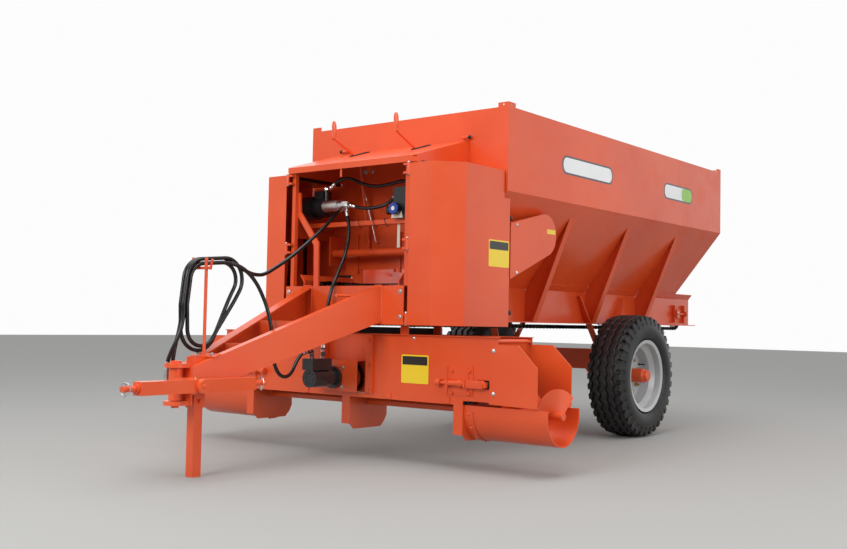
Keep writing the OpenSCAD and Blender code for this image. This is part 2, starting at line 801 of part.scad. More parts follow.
// Chain from the motor's shaft down to the conveyor's front shaft
motor_axis = [260, 1450];
drive_chain_y = motor_end - 26;
drive_small_r = 45;
drive_large_r = 75;
drive_half_t = 6;
module drive_loop(grow) {
    hull() {
        translate(motor_axis) circle(r = drive_small_r + grow);
        translate([drive_x, shaft_z]) circle(r = drive_large_r + grow);
    }
}
module drive_chain() {
    end = drive_chain_y - 20;
    shaft_end = -(rail_y + 16) - seat;
    color(black) placed() {
        along_y(drive_chain_y - 7, drive_chain_y + 7) difference() {
            drive_loop(drive_half_t);
            drive_loop(-drive_half_t);
        }
        rod_y([motor_axis[0], drive_chain_y - 4, motor_axis[1]], 8, drive_small_r - drive_half_t - seat);
        rod_y([motor_axis[0], end, motor_axis[1]], motor_end - 12 - seat - end, 22);
        rod_y([drive_x, drive_chain_y - 4, shaft_z], 8, drive_large_r - drive_half_t - seat);
        rod_y([drive_x, end, shaft_z], shaft_end - end, shaft_r + 4);
    }
}

module oil_filter() {
    color(steel) placed() {
        rod_y([318, -324, 1448], 116, 32);
        rod_y([318, -208, 1448], 33, 22);
        block([298, -175, 1425], [338, -130, 1466]);
        rod_x([338, -150, 1436], 8, 13);
    }
}

module flow_valve() {
    color(black) placed() {
        block([225, 185, shelf_top], [300, 330, 1530]);
        rod_y([262, 120, 1408], 65, 26);
        rod_x([300, 215, 1408], 30, 34);
    }
}

// Short hoses from the motor to the valve
module hose_inner() {
    color(rubber) placed() {
        swept(motor_hose_a, hose_r);
        swept(motor_hose_b, hose_r);
    }
}

// Beater bearings: gusset plates on the slope with a bearing plate
bearing_y = 690;
module beater_bearings() {
    low = beater_z - 70;
    high = beater_z + 70;
    color(paint) placed() both() {
        for (x = [beater_x - 66, beater_x + 60])
            along_x(x, x + 6) polygon([
                [slope_y(low), low], [bearing_y - 6, low], [bearing_y - 6, high], [slope_y(high), high]]);
        difference() {
            block([beater_x - 66, bearing_y - 6, low], [beater_x + 66, bearing_y, high]);
            rod_y([beater_x, bearing_y - 10, beater_z], 20, beater_shaft_r + run_gap);
        }
    }
}

// Round-ended guard over the beater's drive, on the left side
guard_end_r = 122;
guard_end_z = beater_z + 10;
guard_inner = slope_y(guard_end_z + guard_end_r) + seat;
module guard_outline() {
    hull() {
        translate([beater_x - 20, guard_end_z]) circle(r = guard_end_r, $fn = 48);
        translate([-92, 1030]) square([8, 310]);
    }
}
module beater_guard() {
    color(paint) placed() {
        along_y(guard_y - skin, guard_y) guard_outline();
        along_y(guard_inner, guard_y - skin) difference() {
            guard_outline();
            offset(delta = -skin) guard_outline();
        }
    }
}

// Cross conveyor: front and rear plates, each with a chute at its outer end
chute_inner = box_y - 45;
module chute_plate(x0, x1) {
    along_x(x0, x1) polygon([
        [chute_inner, box_bottom - 8], [chute_y, box_bottom - 14], [chute_y, box_top - 142],
        [chute_y - 110, box_top - 34], [chute_inner, box_top - 34]]);
}
tensioner_slot = 38;
module box_plate(x0, x1) {
    difference() {
        along_x(x0, x1) polygon([
            [bay_y, box_bottom], [box_y, box_bottom], [box_y, box_top], [bay_y, box_top]]);
        block([x0 - 1, roller_y - tensioner_slot, roller_z - 22], [x1 + 1, roller_y + tensioner_slot, roller_z + 22]);
    }
}
bay_depth = 50;
module box_front_plates() {
    color(paint) placed() {
        both() {
            box_plate(box_front - skin, box_front);
            block([box_front - 26, bay_y, box_top], [box_front + 14, box_y, box_top + skin]);
            block([box_front - bay_depth, bay_y, box_bottom], [box_front - skin, bay_y + skin, box_top]);
            chute_plate(box_front, box_front + skin);
        }
        block([box_front - bay_depth - skin, -bay_y - skin, box_bottom], [box_front - bay_depth, bay_y + skin, box_top]);
    }
}
module box_rear_plates() {
    color(paint) placed() {
        both() {
            box_plate(box_rear, box_rear + skin);
            block([box_rear - 14, bay_y, box_top + seat], [box_rear + 26, box_y, box_top + skin]);
            chute_plate(box_rear - skin - seat, box_rear - seat);
            translate([box_rear - skin - seat, 0, box_bottom - 8]) rotate([0, -35, 0])
                block([0, chute_inner + 80, -22], [skin, chute_y, 1]);
        }
        block([box_rear, -bay_y, box_bottom], [box_rear + skin, bay_y, box_top]);
    }
}

// Angle pieces hang the box from the rails
module box_hangers() {
    low = box_top + skin;
    color(paint) placed() {
        both() for (x = [box_front - 30, box_rear])
            block([x, rail_y + 2, low], [x + 8, rail_y + rail_flange - 4, rail_bottom]);
        both() {
            rod_x([box_rear + skin, box_y - 16, box_top - 18], box_front - box_rear - 2 * skin, 11);
        }
    }
}

// Rubber belt on two end rollers
module belt_loop(grow) {
    hull() for (s = [-1, 1]) translate([s * roller_y, roller_z]) circle(r = roller_r + grow);
}
module cross_belt() {
    a = box_rear + skin + 6;
    b = box_front - bay_depth - skin - 6;
    color(black) placed() {
        along_x(a, b) difference() {
            belt_loop(belt_t);
            belt_loop(0);
        }
        both() {
            rod_x([a, roller_y, roller_z], b - a, roller_r - seat);
            rod_x([box_rear - 10, roller_y, roller_z], box_front - box_rear + 20, 14);
        }
    }
}

// Screw tensioners for the end rollers
module belt_tensioners() {
    x = box_front;
    color(paint) placed() both() {
        block([x, 700, roller_z - 60], [x + 5, 861, roller_z + 85]);
        for (y = [712, 820])
            block([x + 5, y, roller_z - 20], [x + 34, y + 10, roller_z + 20]);
        rod_y([x + 20, 646, roller_z], 174, 8);
        rod_y([x + 20, 640, roller_z], 14, 15);
        difference() {
            block([x + 11, 830, roller_z - 14], [x + 29, 955, roller_z + 14]);
            rod_x([x, roller_y, roller_z], 40, 14.2);
        }
        rod_x([x + 10.2, roller_y, roller_z], 24, 14);
    }
}

// Chain case with an open left side, its wheel inside
case_front = 473;
case_back = box_front - bay_depth;
case_right = -bay_y + 4;
case_left = 95;
case_bottom = box_bottom + 2;
case_top = 560;
module chain_case() {
    color(paint) placed() {
        difference() {
            block([case_back, case_right, case_bottom], [case_front, case_left, case_top]);
            block([case_back - 1, case_right + skin, case_bottom - 1], [case_front - skin, case_left + 1, case_top - skin]);
        }
        rod_x([case_back + 22, 20, 465], 12, 72);
        rod_x([case_back, 20, 465], 60, 16);
    }
}

motor_y = -75;
motor_z = 463;
module belt_motor() {
    color(black) placed() {
        rod_x([case_front, motor_y, motor_z], 20, 62);
        rod_x([case_front + 20, motor_y, motor_z], 70, 46);
        rod_x([case_front + 90, motor_y, motor_z], 108, 51);
        block([case_front + 64, motor_y - 40, motor_z + 44], [case_front + 212, motor_y + 40, motor_z + 106]);
        rod_z([565, motor_y, motor_z + 106], 58, 12);
        rod_z([655, motor_y, motor_z + 106], 44, 12);
        rod([655, motor_y, motor_z + 145], [691, motor_y, motor_z + 145], 12);
    }
}

// Three hangers under an angle rail carry the screw's bearings
trough_hang = 791;
hanger_right = -757;
hanger_ys = [hanger_right, 19, trough_hang];
hanger_front = box_front - 5;
hanger_low = 180;
module hanger(y) {
    difference() {
        along_y(y, y + hanger_t) polygon([
            [hanger_front, trough_top], [hanger_front, 212], [hanger_front - 34, hanger_low],
            [screw_x - 96, hanger_low], [screw_x - 130, 212], [box_rear, 246], [box_rear, trough_top]]);
        rod_y([screw_x, y - 1, screw_z], hanger_t + 2, screw_r + run_gap);
    }
    block([hanger_front, y - 52, 210], [hanger_front + 5, y + hanger_t, trough_top]);
    difference() {
        rod_y([screw_x, y - 26, screw_z], 26, screw_r + 24);
        rod_y([screw_x, y - 27, screw_z], 28, screw_r + run_gap);
    }
}
module screw_hangers() {
    top = box_bottom;
    color(paint) placed() {
        for (y = hanger_ys) hanger(y);
        for (x = [hanger_front, box_rear])
            block([x, -809, trough_top], [x + 5, trough_hang + hanger_t, top]);
        block([hanger_front - 30, -809, top - 5], [hanger_front, trough_hang + hanger_t, top]);
    }
}

// Half-round troughs, open at the top and at the outer end
module trough_profile() {
    module u(r) {
        translate([screw_x, screw_z]) circle(r = r);
        translate([screw_x - r, screw_z]) square([2 * r, trough_top - screw_z]);
    }
    difference() {
        intersection() {
            u(trough_r + trough_t);
            translate([0, 0]) square([1000, trough_top]);
        }
        u(trough_r);
        translate([0, trough_top]) square([1000, 400]);
    }
}
module troughs() {
    color(paint) placed() {
        along_y(trough_hang + hanger_t, trough_y) trough_profile();
        along_y(-trough_y, hanger_right) trough_profile();
    }
}

// Rolled hoses and their runs
module coil_oval(grow) {
    hull() for (knot = coil_knots) translate(knot) circle(r = coil_bend + grow);
}
module hose_coil() {
    color(rubber) placed() along_y(coil_y - coil_band, coil_y + coil_band) difference() {
        coil_oval(coil_band);
        coil_oval(-coil_band);
    }
}
module hose_tails() {
    color(rubber) placed() {
        swept(tail_one, hose_r);
        swept(tail_two, hose_r);
    }
}
module hose_feed() { color(rubber) placed() swept(feed_route, hose_r); }
module hose_return() { color(rubber) placed() swept(return_route, hose_r); }
module hose_link() { color(rubber) placed() swept(link_route, hose_r); }
module hose_couplers() {
    color(steel) placed()
    for (end = [tail_one[len(tail_one) - 1], tail_two[len(tail_two) - 1]]) {
        translate(end - [0, 0, 24]) cylinder(h = 24, r = 13);
        translate(end - [0, 0, 64]) cylinder(h = 40, r = 15);
    }
}

// Wheels, drawn about the wheel's middle and then set on the axle
module tyre_profile() {
    half = tyre_w / 2;
    crown = tyre_r - 8;
    bead = rim_w / 2 - 14;
    wall = 22;
    difference() {
        polygon([
            [bead_r, -bead], [bead_r + rim_flange + 3, -bead], [bead_r + 40, -half + 8], [bead_r + 90, -half],
            [crown - 60, -half + 6], [crown, -half + 24], [tyre_r, -half + 60], [tyre_r, half - 60],
            [crown, half - 24], [crown - 60, half - 6], [bead_r + 90, half], [bead_r + 40, half - 8],
            [bead_r + rim_flange + 3, bead], [bead_r, bead]]);
        polygon([
            [bead_r - 1, -bead + wall], [bead_r + rim_flange, -bead + wall], [bead_r + 90, -half + wall],
            [crown - 50, -half + wall], [tyre_r - 32, -half + 64], [tyre_r - 32, half - 64],
            [crown - 50, half - wall], [bead_r + 90, half - wall], [bead_r + rim_flange, bead - wall],
            [bead_r - 1, bead - wall]]);
    }
}
module on_wheel(side) {
    placed() translate([axle_x, side * wheel_y, wheel_z]) rotate([-90 * side, 0, 0]) children();
}
module tyre(side) { color(rubber) on_wheel(side) rotate_extrude($fn = 96) tyre_profile(); }
module tyre_left() { tyre(1); }
module tyre_right() { tyre(-1); }

// The rim's outside faces +Z here: barrel with a dropped middle and a dished disc
disc_z = -6;
module rim_profile() {
    half = rim_w / 2;
    outer = bead_r + rim_flange;
    seat_r = bead_r - seat;
    well = bead_r - 30;
    polygon([
        [outer, half], [outer, half - 6], [seat_r, half - 13], [seat_r, half - 50], [well, half - 78],
        [well, -half + 78], [seat_r, -half + 50], [seat_r, -half + 13], [outer, -half + 6], [outer, -half],
        [seat_r - 7, -half + 6], [seat_r - 7, -half + 48], [well - 7, -half + 76], [well - 7, half - 76],
        [seat_r - 7, half - 48], [seat_r - 7, half - 6]]);
    polygon([
        [hub_r + seat, disc_z - disc_t], [hub_flange_r + 20, disc_z - disc_t], [well - 34, disc_z - disc_t - 20],
        [well - 7, disc_z - disc_t - 20], [well - 7, disc_z - 20], [well - 38, disc_z - 20],
        [hub_flange_r + 16, disc_z], [hub_r + seat, disc_z]]);
}
module rim(side) { color(steel) on_wheel(side) rotate_extrude($fn = 96) rim_profile(); }
module rim_left() { rim(1); }
module rim_right() { rim(-1); }

hub_nose = 130;
stub_end = 92;
module hub_profile() {
    bore = stub_r + run_gap;
    back = disc_z - disc_t;
    polygon([
        [bore, -70], [hub_r + 10, -70], [hub_r + 10, back - 16], [hub_flange_r, back - 16], [hub_flange_r, back],
        [hub_r, back], [hub_r, 96], [hub_r - 10, 108], [hub_r - 12, hub_nose - 4], [hub_r - 16, hub_nose],
        [0, hub_nose], [0, stub_end + 3], [bore, stub_end + 3]]);
}
module hub(side) { color(paint) on_wheel(side) rotate_extrude($fn = 64) hub_profile(); }
module hub_left() { hub(1); }
module hub_right() { hub(-1); }

// Screw: one tube with a flight in each trough, wound to opposite hands
flight_t = 6;
flight_start = roller_y + roller_r + belt_t + 10;
flight_step = 20;
module flight(hand, y0, y1) {
    turns = (y1 - y0) / flight_pitch;
    steps = floor(turns * 360 / flight_step);
    n = steps + 1;
    angle = function (i) hand * i * flight_step;
    place = function (i) y0 + (y1 - y0 - flight_t) * i / steps;
    spiral = function (r, off) [for (i = [0 : steps])
        [screw_x + r * cos(angle(i)), place(i) + off, screw_z + r * sin(angle(i))]];
    pts = concat(
        spiral(screw_r - 3, 0), spiral(flight_r, 0), spiral(flight_r, flight_t), spiral(screw_r - 3, flight_t));
    wall = function (a, b) [for (i = [0 : steps - 1]) each hand > 0
        ? [[a * n + i, a * n + i + 1, b * n + i], [a * n + i + 1, b * n + i + 1, b * n + i]]
        : [[a * n + i, b * n + i, a * n + i + 1], [a * n + i + 1, b * n + i, b * n + i + 1]]];
    ends = hand > 0
        ? [[0, n, 2 * n, 3 * n], [steps, 3 * n + steps, 2 * n + steps, n + steps]]
        : [[0, 3 * n, 2 * n, n], [steps, n + steps, 2 * n + steps, 3 * n + steps]];
    polyhedron(points = pts, faces = concat(wall(0, 1), wall(1, 2), wall(2, 3), wall(3, 0), ends));
}
module screw() {
    color(paint) placed() {
        rod_y([screw_x, -trough_y, screw_z], 2 * trough_y, screw_r);
        flight(1, flight_start, trough_y - 6);
        flight(-1, -trough_y + 6, -flight_start);
    }
}

// Beater: a shaft with rows of tines on spiral places
tine_r = 9;
module beater() {
    reach = slope_y(beater_z - beater_r - 12) - 20;
    color(paint) placed() {
        rod_y([beater_x, -bearing_y - 14, beater_z], 2 * (bearing_y + 14), beater_shaft_r);
        rod_y([beater_x, -reach - 50, beater_z], 2 * (reach + 50), beater_shaft_r + 20);
        for (i = [0 : tine_rows - 1]) {
            y = -reach + 2 * reach * i / (tine_rows - 1);
            translate([beater_x, y, beater_z]) rotate([0, i * 40, 0])
                translate([0, 0, -beater_r]) cylinder(h = 2 * beater_r, r = tine_r);
        }
    }
}

// Doors: one bent sheet each, hinged at the inner front edge
module door_plan() {
    x = door_front;
    y = door_y;
    inner = hinge_y + hinge_r + 4;
    corner_y = door_strip_end;
    side_x = x - door_corner;
    cut = skin * tan(22.5);
    polygon([
        [x, inner], [x, corner_y], [side_x, y], [-door_tail, y], [-door_tail, y - skin],
        [side_x - cut, y - skin], [x - skin, corner_y - cut], [x - skin, inner]]);
}
module door_top_plan() {
    inner = roof_y + 8;
    polygon([
        [door_front - skin / 2, inner], [door_front - skin / 2, door_strip_end - 1],
        [door_front - door_corner - 1, door_y - skin / 2], [8, door_y - skin / 2], [8, inner]]);
}
module door() {
    placed() {
        translate([0, 0, door_top - skin]) linear_extrude(skin) door_top_plan();
        difference() {
            translate([0, 0, door_bottom]) linear_extrude(door_top - door_bottom) door_plan();
            along_y(door_y - skin - 1, door_y + 1) polygon([
                [-door_tail - 1, band_bottom - 40], [8, band_bottom - 40], [8, door_top + 1],
                [-door_tail - 1, door_top + 1]]);
        }
        for (z = hinge_heights)
            difference() {
                union() {
                    rod_z([hinge_x, hinge_y, z - knuckle / 2 + 0.5], knuckle - 1, hinge_r + 4);
                    block([hinge_x - 3, hinge_y, z - knuckle / 2 + 0.5],
                          [hinge_x - skin / 2, hinge_y + 40, z + knuckle / 2 - 0.5]);
                    block([hinge_x - 2, hinge_y, z - knuckle / 2 + 0.5],
                          [hinge_x + 2, hinge_y + hinge_r + 5, z + knuckle / 2 - 0.5]);
                }
                rod_z([hinge_x, hinge_y, z - knuckle], 2 * knuckle, hinge_r + run_gap);
            }
    }
}
module door_left() { color(paint) door(); }
module door_right() { color(paint) mirror([0, 1, 0]) door(); }

// Hitch: a yoke on the king pin and the lower-link bar that rolls on its spigot
barrel_low = ear_low + ear_t + 3;
barrel_high = ear_high - 3;
barrel_r = 32;
spigot_r = 26;
module hitch_yoke() {
    face = bar_off - bar_side / 2 - seat;
    color(paint) placed() {
        difference() {
            union() {
                rod_z([king_x, 0, barrel_low], barrel_high - barrel_low, barrel_r);
                block([king_x - 28, 0, bar_z - 32], [king_x + 28, face - 20, bar_z + 32]);
            }
            rod_z([king_x, 0, barrel_low - 1], barrel_high - barrel_low + 2, king_r + run_gap);
        }
        rod_y([king_x, face - 20, bar_z], 20, spigot_r + 10);
        rod_y([king_x, face - 1, bar_z], bar_side + 2 + 2 * seat, spigot_r);
        rod_y([king_x, bar_off + bar_side / 2 + seat, bar_z], 14, spigot_r + 8);
    }
}
module hitch_bar() {
    half = link_span / 2;
    s = bar_side / 2;
    color(paint) placed() translate([king_x, bar_off, bar_z]) {
        difference() {
            union() {
                block([-half + 12, -s, -s], [half - 12, s, s]);
                rod_x([-half, 0, 0], 2 * half, 22);
                rod_x([-half - link_len, 0, 0], 2 * (half + link_len), link_r);
            }
            rod_y([0, -s - 1, 0], bar_side + 2, spigot_r + seat);
        }
    }
}

module parking_leg() {
    s = leg_side / 2;
    color(paint) placed() translate([leg_x, 0, 0]) {
        difference() {
            block([-s, -s, ground_z], [s, s, leg_len]);
            block([-s + 6, -s + 6, ground_z + 8], [s - 6, s - 6, leg_len + 1]);
        }
    }
}

side_rails();
front_crossbeam();
cross_members();
drawbar_beams();
drawbar_plates();
nose_fork();
leg_sleeve();
hose_stand();
hopper_left();
hopper_right();
hopper_front();
hopper_rear();
hopper_ribs();
corner_brackets();
hopper_floor();
floor_conveyor();
conveyor_shafts();
rear_tensioners();
axle();
axle_struts();
roof();
gates();
door_posts();
inner_frame();
conveyor_motor();
drive_chain();
oil_filter();
flow_valve();
hose_inner();
beater_bearings();
beater_guard();
box_front_plates();
box_rear_plates();
box_hangers();
cross_belt();
belt_tensioners();
chain_case();
belt_motor();
screw_hangers();
troughs();
hose_coil();
hose_tails();
hose_feed();
hose_return();
hose_link();
hose_couplers();
tyre_left();
tyre_right();
rim_left();
rim_right();
hub_left();
hub_right();
screw();
beater();
door_left();
door_right();
hitch_yoke();
hitch_bar();
parking_leg();
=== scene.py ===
"""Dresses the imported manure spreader: paint, tyres, hoses, chains, fasteners and blank plates."""
import json
import math
from contextlib import contextmanager

import bmesh
import bpy
from mathutils import Matrix, Vector


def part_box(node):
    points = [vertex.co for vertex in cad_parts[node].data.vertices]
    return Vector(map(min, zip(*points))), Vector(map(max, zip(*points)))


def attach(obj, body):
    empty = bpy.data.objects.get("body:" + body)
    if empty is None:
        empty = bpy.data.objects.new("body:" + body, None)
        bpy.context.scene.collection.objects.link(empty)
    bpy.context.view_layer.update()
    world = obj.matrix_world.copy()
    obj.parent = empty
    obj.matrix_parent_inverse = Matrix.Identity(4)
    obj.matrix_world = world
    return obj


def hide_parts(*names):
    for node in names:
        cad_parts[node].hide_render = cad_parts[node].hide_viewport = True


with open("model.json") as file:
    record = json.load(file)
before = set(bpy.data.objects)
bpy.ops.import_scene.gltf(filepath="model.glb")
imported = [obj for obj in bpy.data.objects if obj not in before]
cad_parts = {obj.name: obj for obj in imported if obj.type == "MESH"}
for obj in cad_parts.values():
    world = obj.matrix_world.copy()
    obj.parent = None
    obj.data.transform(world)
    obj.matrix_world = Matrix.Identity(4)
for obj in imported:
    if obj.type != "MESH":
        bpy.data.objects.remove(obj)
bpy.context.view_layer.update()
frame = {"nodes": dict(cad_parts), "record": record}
nodes = frame["nodes"]
scene = bpy.context.scene

# Places are metres forward of the hopper's front wall, left of the middle and up; the ground is at GROUND
FRONT_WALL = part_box("hopper_front")[1].x
GROUND = 0.030
X_AXIS = Vector((1, 0, 0))
Y_AXIS = Vector((0, 1, 0))
Z_AXIS = Vector((0, 0, 1))


def at(x, y, z):
    return Vector((FRONT_WALL + x, y, z - GROUND))


# Camera at the photograph's viewing angle

CAMERA_PLACE = Vector((5.3137, 3.8740, 0.7544))
CAMERA_HEADING = math.radians(38.265)
CAMERA_PITCH = math.radians(2.599)
CAMERA_ROLL = math.radians(1.1035)
CAMERA_LENS = 43.69
SENSOR_WIDTH = 36


def make_camera():
    look = Vector((
        -math.cos(CAMERA_HEADING) * math.cos(CAMERA_PITCH),
        -math.sin(CAMERA_HEADING) * math.cos(CAMERA_PITCH),
        math.sin(CAMERA_PITCH)))
    level_right = look.cross(Z_AXIS).normalized()
    level_up = level_right.cross(look).normalized()
    right = math.cos(CAMERA_ROLL) * level_right + math.sin(CAMERA_ROLL) * level_up
    up = -math.sin(CAMERA_ROLL) * level_right + math.cos(CAMERA_ROLL) * level_up
    data = bpy.data.cameras.new("photo_camera")
    data.sensor_width = SENSOR_WIDTH
    data.lens = CAMERA_LENS
    camera = bpy.data.objects.new("photo_camera", data)
    scene.collection.objects.link(camera)
    turn = Matrix((right, up, -look)).transposed().to_4x4()
    camera.matrix_world = Matrix.Translation(CAMERA_PLACE) @ turn
    scene.camera = camera


make_camera()


# Shader groups shared by several finishes

def new_group(name, inputs, outputs):
    group = bpy.data.node_groups.new(name, "ShaderNodeTree")
    for label, kind, value in inputs:
        socket = group.interface.new_socket(label, in_out="INPUT", socket_type=kind)
        if value is not None:
            socket.default_value = value
    for label, kind in outputs:
        group.interface.new_socket(label, in_out="OUTPUT", socket_type=kind)
    return group, group.nodes.new("NodeGroupInput"), group.nodes.new("NodeGroupOutput")


def add_node(tree, kind, **settings):
    node = tree.nodes.new(kind)
    for key, value in settings.items():
        setattr(node, key, value)
    return node


def noise_of(tree, vector, scale, detail=3.0, roughness=0.55):
    noise = add_node(tree, "ShaderNodeTexNoise")
    noise.inputs["Detail"].default_value = detail
    noise.inputs["Roughness"].default_value = roughness
    if isinstance(scale, (int, float)):
        noise.inputs["Scale"].default_value = scale
    else:
        tree.links.new(scale, noise.inputs["Scale"])
    tree.links.new(vector, noise.inputs["Vector"])
    return noise.outputs["Fac"]


def ranged(tree, value, low, high, to_low=0.0, to_high=1.0):
    node = add_node(tree, "ShaderNodeMapRange", interpolation_type="SMOOTHSTEP")
    node.inputs["From Min"].default_value = low
    node.inputs["From Max"].default_value = high
    node.inputs["To Min"].default_value = to_low
    node.inputs["To Max"].default_value = to_high
    tree.links.new(value, node.inputs["Value"])
    return node.outputs["Result"]


def combine(tree, operation, first, second):
    node = add_node(tree, "ShaderNodeMath", operation=operation)
    for socket, value in zip(node.inputs, (first, second)):
        if isinstance(value, (int, float)):
            socket.default_value = value
        else:
            tree.links.new(value, socket)
    return node.outputs["Value"]


SPECK_SCALE = 38.0
SMUDGE_SCALE = 5.5


def make_paint_skin():
    """Broad shade drift, fine orange peel and the dust that gathers low down."""
    group, inlet, outlet = new_group(
        "paint_skin",
        [("Vector", "NodeSocketVector", None), ("Drift scale", "NodeSocketFloat", 1.4),
         ("Peel scale", "NodeSocketFloat", 420.0), ("Dust height", "NodeSocketFloat", 0.55)],
        [("Drift", "NodeSocketFloat"), ("Peel", "NodeSocketFloat"), ("Dust", "NodeSocketFloat"),
         ("Smudge", "NodeSocketFloat")])
    place = inlet.outputs["Vector"]
    drift = noise_of(group, place, inlet.outputs["Drift scale"])
    peel = noise_of(group, place, inlet.outputs["Peel scale"], 1.0)
    speck = noise_of(group, place, SPECK_SCALE, 5.0, 0.7)
    split = add_node(group, "ShaderNodeSeparateXYZ")
    group.links.new(place, split.inputs["Vector"])
    fade = combine(group, "DIVIDE", split.outputs["Z"], inlet.outputs["Dust height"])
    low = ranged(group, fade, 0.0, 1.0, 1.0, 0.0)
    dust = combine(group, "MULTIPLY", low, ranged(group, speck, 0.42, 0.72))
    smudge = ranged(group, noise_of(group, place, SMUDGE_SCALE, 4.0, 0.6), 0.35, 0.75)
    group.links.new(drift, outlet.inputs["Drift"])
    group.links.new(peel, outlet.inputs["Peel"])
    group.links.new(dust, outlet.inputs["Dust"])
    group.links.new(smudge, outlet.inputs["Smudge"])
    return group


PAINT_SKIN = make_paint_skin()


# Finishes

def new_finish(name):
    material = bpy.data.materials.new(name)
    material.use_nodes = True
    tree = material.node_tree
    shader = tree.nodes["Principled BSDF"]
    coords = add_node(tree, "ShaderNodeTexCoord")
    return material, tree, shader, coords.outputs["Object"]


def skin_of(tree, place, drift_scale, peel_scale, dust_height):
    skin = add_node(tree, "ShaderNodeGroup", node_tree=PAINT_SKIN)
    skin.inputs["Drift scale"].default_value = drift_scale
    skin.inputs["Peel scale"].default_value = peel_scale
    skin.inputs["Dust height"].default_value = dust_height
    tree.links.new(place, skin.inputs["Vector"])
    return skin


def mixed(tree, factor, first, second):
    """Mixes two colours, each an RGB tuple or a socket."""
    node = add_node(tree, "ShaderNodeMix", data_type="RGBA")
    tree.links.new(factor, node.inputs["Factor"])
    for socket, colour in ((node.inputs["A"], first), (node.inputs["B"], second)):
        if isinstance(colour, tuple):
            socket.default_value = (*colour, 1.0)
        else:
            tree.links.new(colour, socket)
    return node.outputs["Result"]


def bumped(tree, shader, height, strength, distance):
    bump = add_node(tree, "ShaderNodeBump")
    bump.inputs["Strength"].default_value = strength
    bump.inputs["Distance"].default_value = distance
    tree.links.new(height, bump.inputs["Height"])
    tree.links.new(bump.outputs["Normal"], shader.inputs["Normal"])


DUST = (0.34, 0.25, 0.16)


def painted(name, deep, bright, roughness, dust_share=0.35, dust_height=0.55, coat=0.35, peel=0.05):
    """Sprayed paint: shade drift, orange peel, smudged gloss and a little dust low down."""
    material, tree, shader, place = new_finish(name)
    skin = skin_of(tree, place, drift_scale=1.4, peel_scale=420.0, dust_height=dust_height)
    shade = ranged(tree, skin.outputs["Drift"], 0.3, 0.7)
    colour = mixed(tree, shade, deep, bright)
    dust = combine(tree, "MULTIPLY", skin.outputs["Dust"], dust_share)
    tree.links.new(mixed(tree, dust, colour, DUST), shader.inputs["Base Color"])
    gloss = ranged(tree, skin.outputs["Smudge"], 0.0, 1.0, roughness - 0.05, roughness + 0.07)
    dulled = combine(tree, "ADD", gloss, combine(tree, "MULTIPLY", dust, 0.4))
    tree.links.new(dulled, shader.inputs["Roughness"])
    shader.inputs["Coat Weight"].default_value = coat
    shader.inputs["Coat Roughness"].default_value = 0.16
    bumped(tree, shader, skin.outputs["Peel"], peel, 0.0006)
    return material


def bare_metal(name, dull, bright, roughness, grain=160.0):
    material, tree, shader, place = new_finish(name)
    skin = skin_of(tree, place, drift_scale=9.0, peel_scale=grain, dust_height=0.3)
    shade = ranged(tree, skin.outputs["Smudge"], 0.1, 0.9)
    tree.links.new(mixed(tree, shade, dull, bright), shader.inputs["Base Color"])
    gloss = ranged(tree, skin.outputs["Drift"], 0.3, 0.7, roughness - 0.08, roughness + 0.1)
    tree.links.new(gloss, shader.inputs["Roughness"])
    shader.inputs["Metallic"].default_value = 1.0
    bumped(tree, shader, skin.outputs["Peel"], 0.08, 0.0005)
    return material


def moulded_rubber(name, dark, worn, roughness, dust_share, dust_height, grain=260.0, relief=0.12):
    material, tree, shader, place = new_finish(name)
    skin = skin_of(tree, place, drift_scale=3.0, peel_scale=grain, dust_height=dust_height)
    colour = mixed(tree, ranged(tree, skin.outputs["Smudge"], 0.2, 0.9), dark, worn)
    dust = combine(tree, "MULTIPLY", skin.outputs["Dust"], dust_share)
    tree.links.new(mixed(tree, dust, colour, DUST), shader.inputs["Base Color"])
    gloss = ranged(tree, skin.outputs["Drift"], 0.3, 0.7, roughness - 0.06, roughness + 0.08)
    tree.links.new(gloss, shader.inputs["Roughness"])
    bumped(tree, shader, skin.outputs["Peel"], relief, 0.0008)
    return material


ORANGE_PAINT = painted(
    "orange_paint", (0.660, 0.070, 0.012), (0.740, 0.090, 0.018), 0.36, dust_share=0.07, coat=0.22)
FLOOR_PAINT = painted("floor_paint", (0.26, 0.032, 0.014), (0.33, 0.045, 0.020), 0.5, coat=0.1)
BLACK_PAINT = painted("black_paint", (0.010, 0.010, 0.011), (0.020, 0.020, 0.022), 0.32, dust_share=0.1)
RIM_PAINT = painted(
    "rim_paint", (0.40, 0.41, 0.42), (0.50, 0.51, 0.52), 0.36, dust_share=0.12, dust_height=0.5, coat=0.3)
ZINC = bare_metal("zinc_plate", (0.52, 0.53, 0.54), (0.78, 0.79, 0.80), 0.34)
BRIGHT_STEEL = bare_metal("bright_steel", (0.58, 0.58, 0.58), (0.80, 0.80, 0.79), 0.26)
GOLD_ZINC = bare_metal("gold_zinc", (0.52, 0.36, 0.14), (0.78, 0.60, 0.30), 0.36)
CAST_SILVER = bare_metal("filter_body", (0.66, 0.66, 0.64), (0.86, 0.86, 0.84), 0.34)
CHAIN_STEEL = bare_metal("chain_steel", (0.035, 0.028, 0.025), (0.10, 0.075, 0.06), 0.5)
HOSE_RUBBER = moulded_rubber(
    "hose_rubber", (0.004, 0.004, 0.005), (0.008, 0.008, 0.009), 0.24, 0.02, 0.3, relief=0.02)
BELT_RUBBER = moulded_rubber("belt_rubber", (0.012, 0.012, 0.013), (0.025, 0.024, 0.023), 0.6, 0.2, 0.6)
TYRE_RUBBER = moulded_rubber("tyre_rubber", (0.009, 0.009, 0.010), (0.018, 0.018, 0.019), 0.46, 0.06, 0.70)
LATCH_RUBBER = moulded_rubber("latch_rubber", (0.010, 0.010, 0.010), (0.018, 0.018, 0.018), 0.45, 0.1, 0.3)
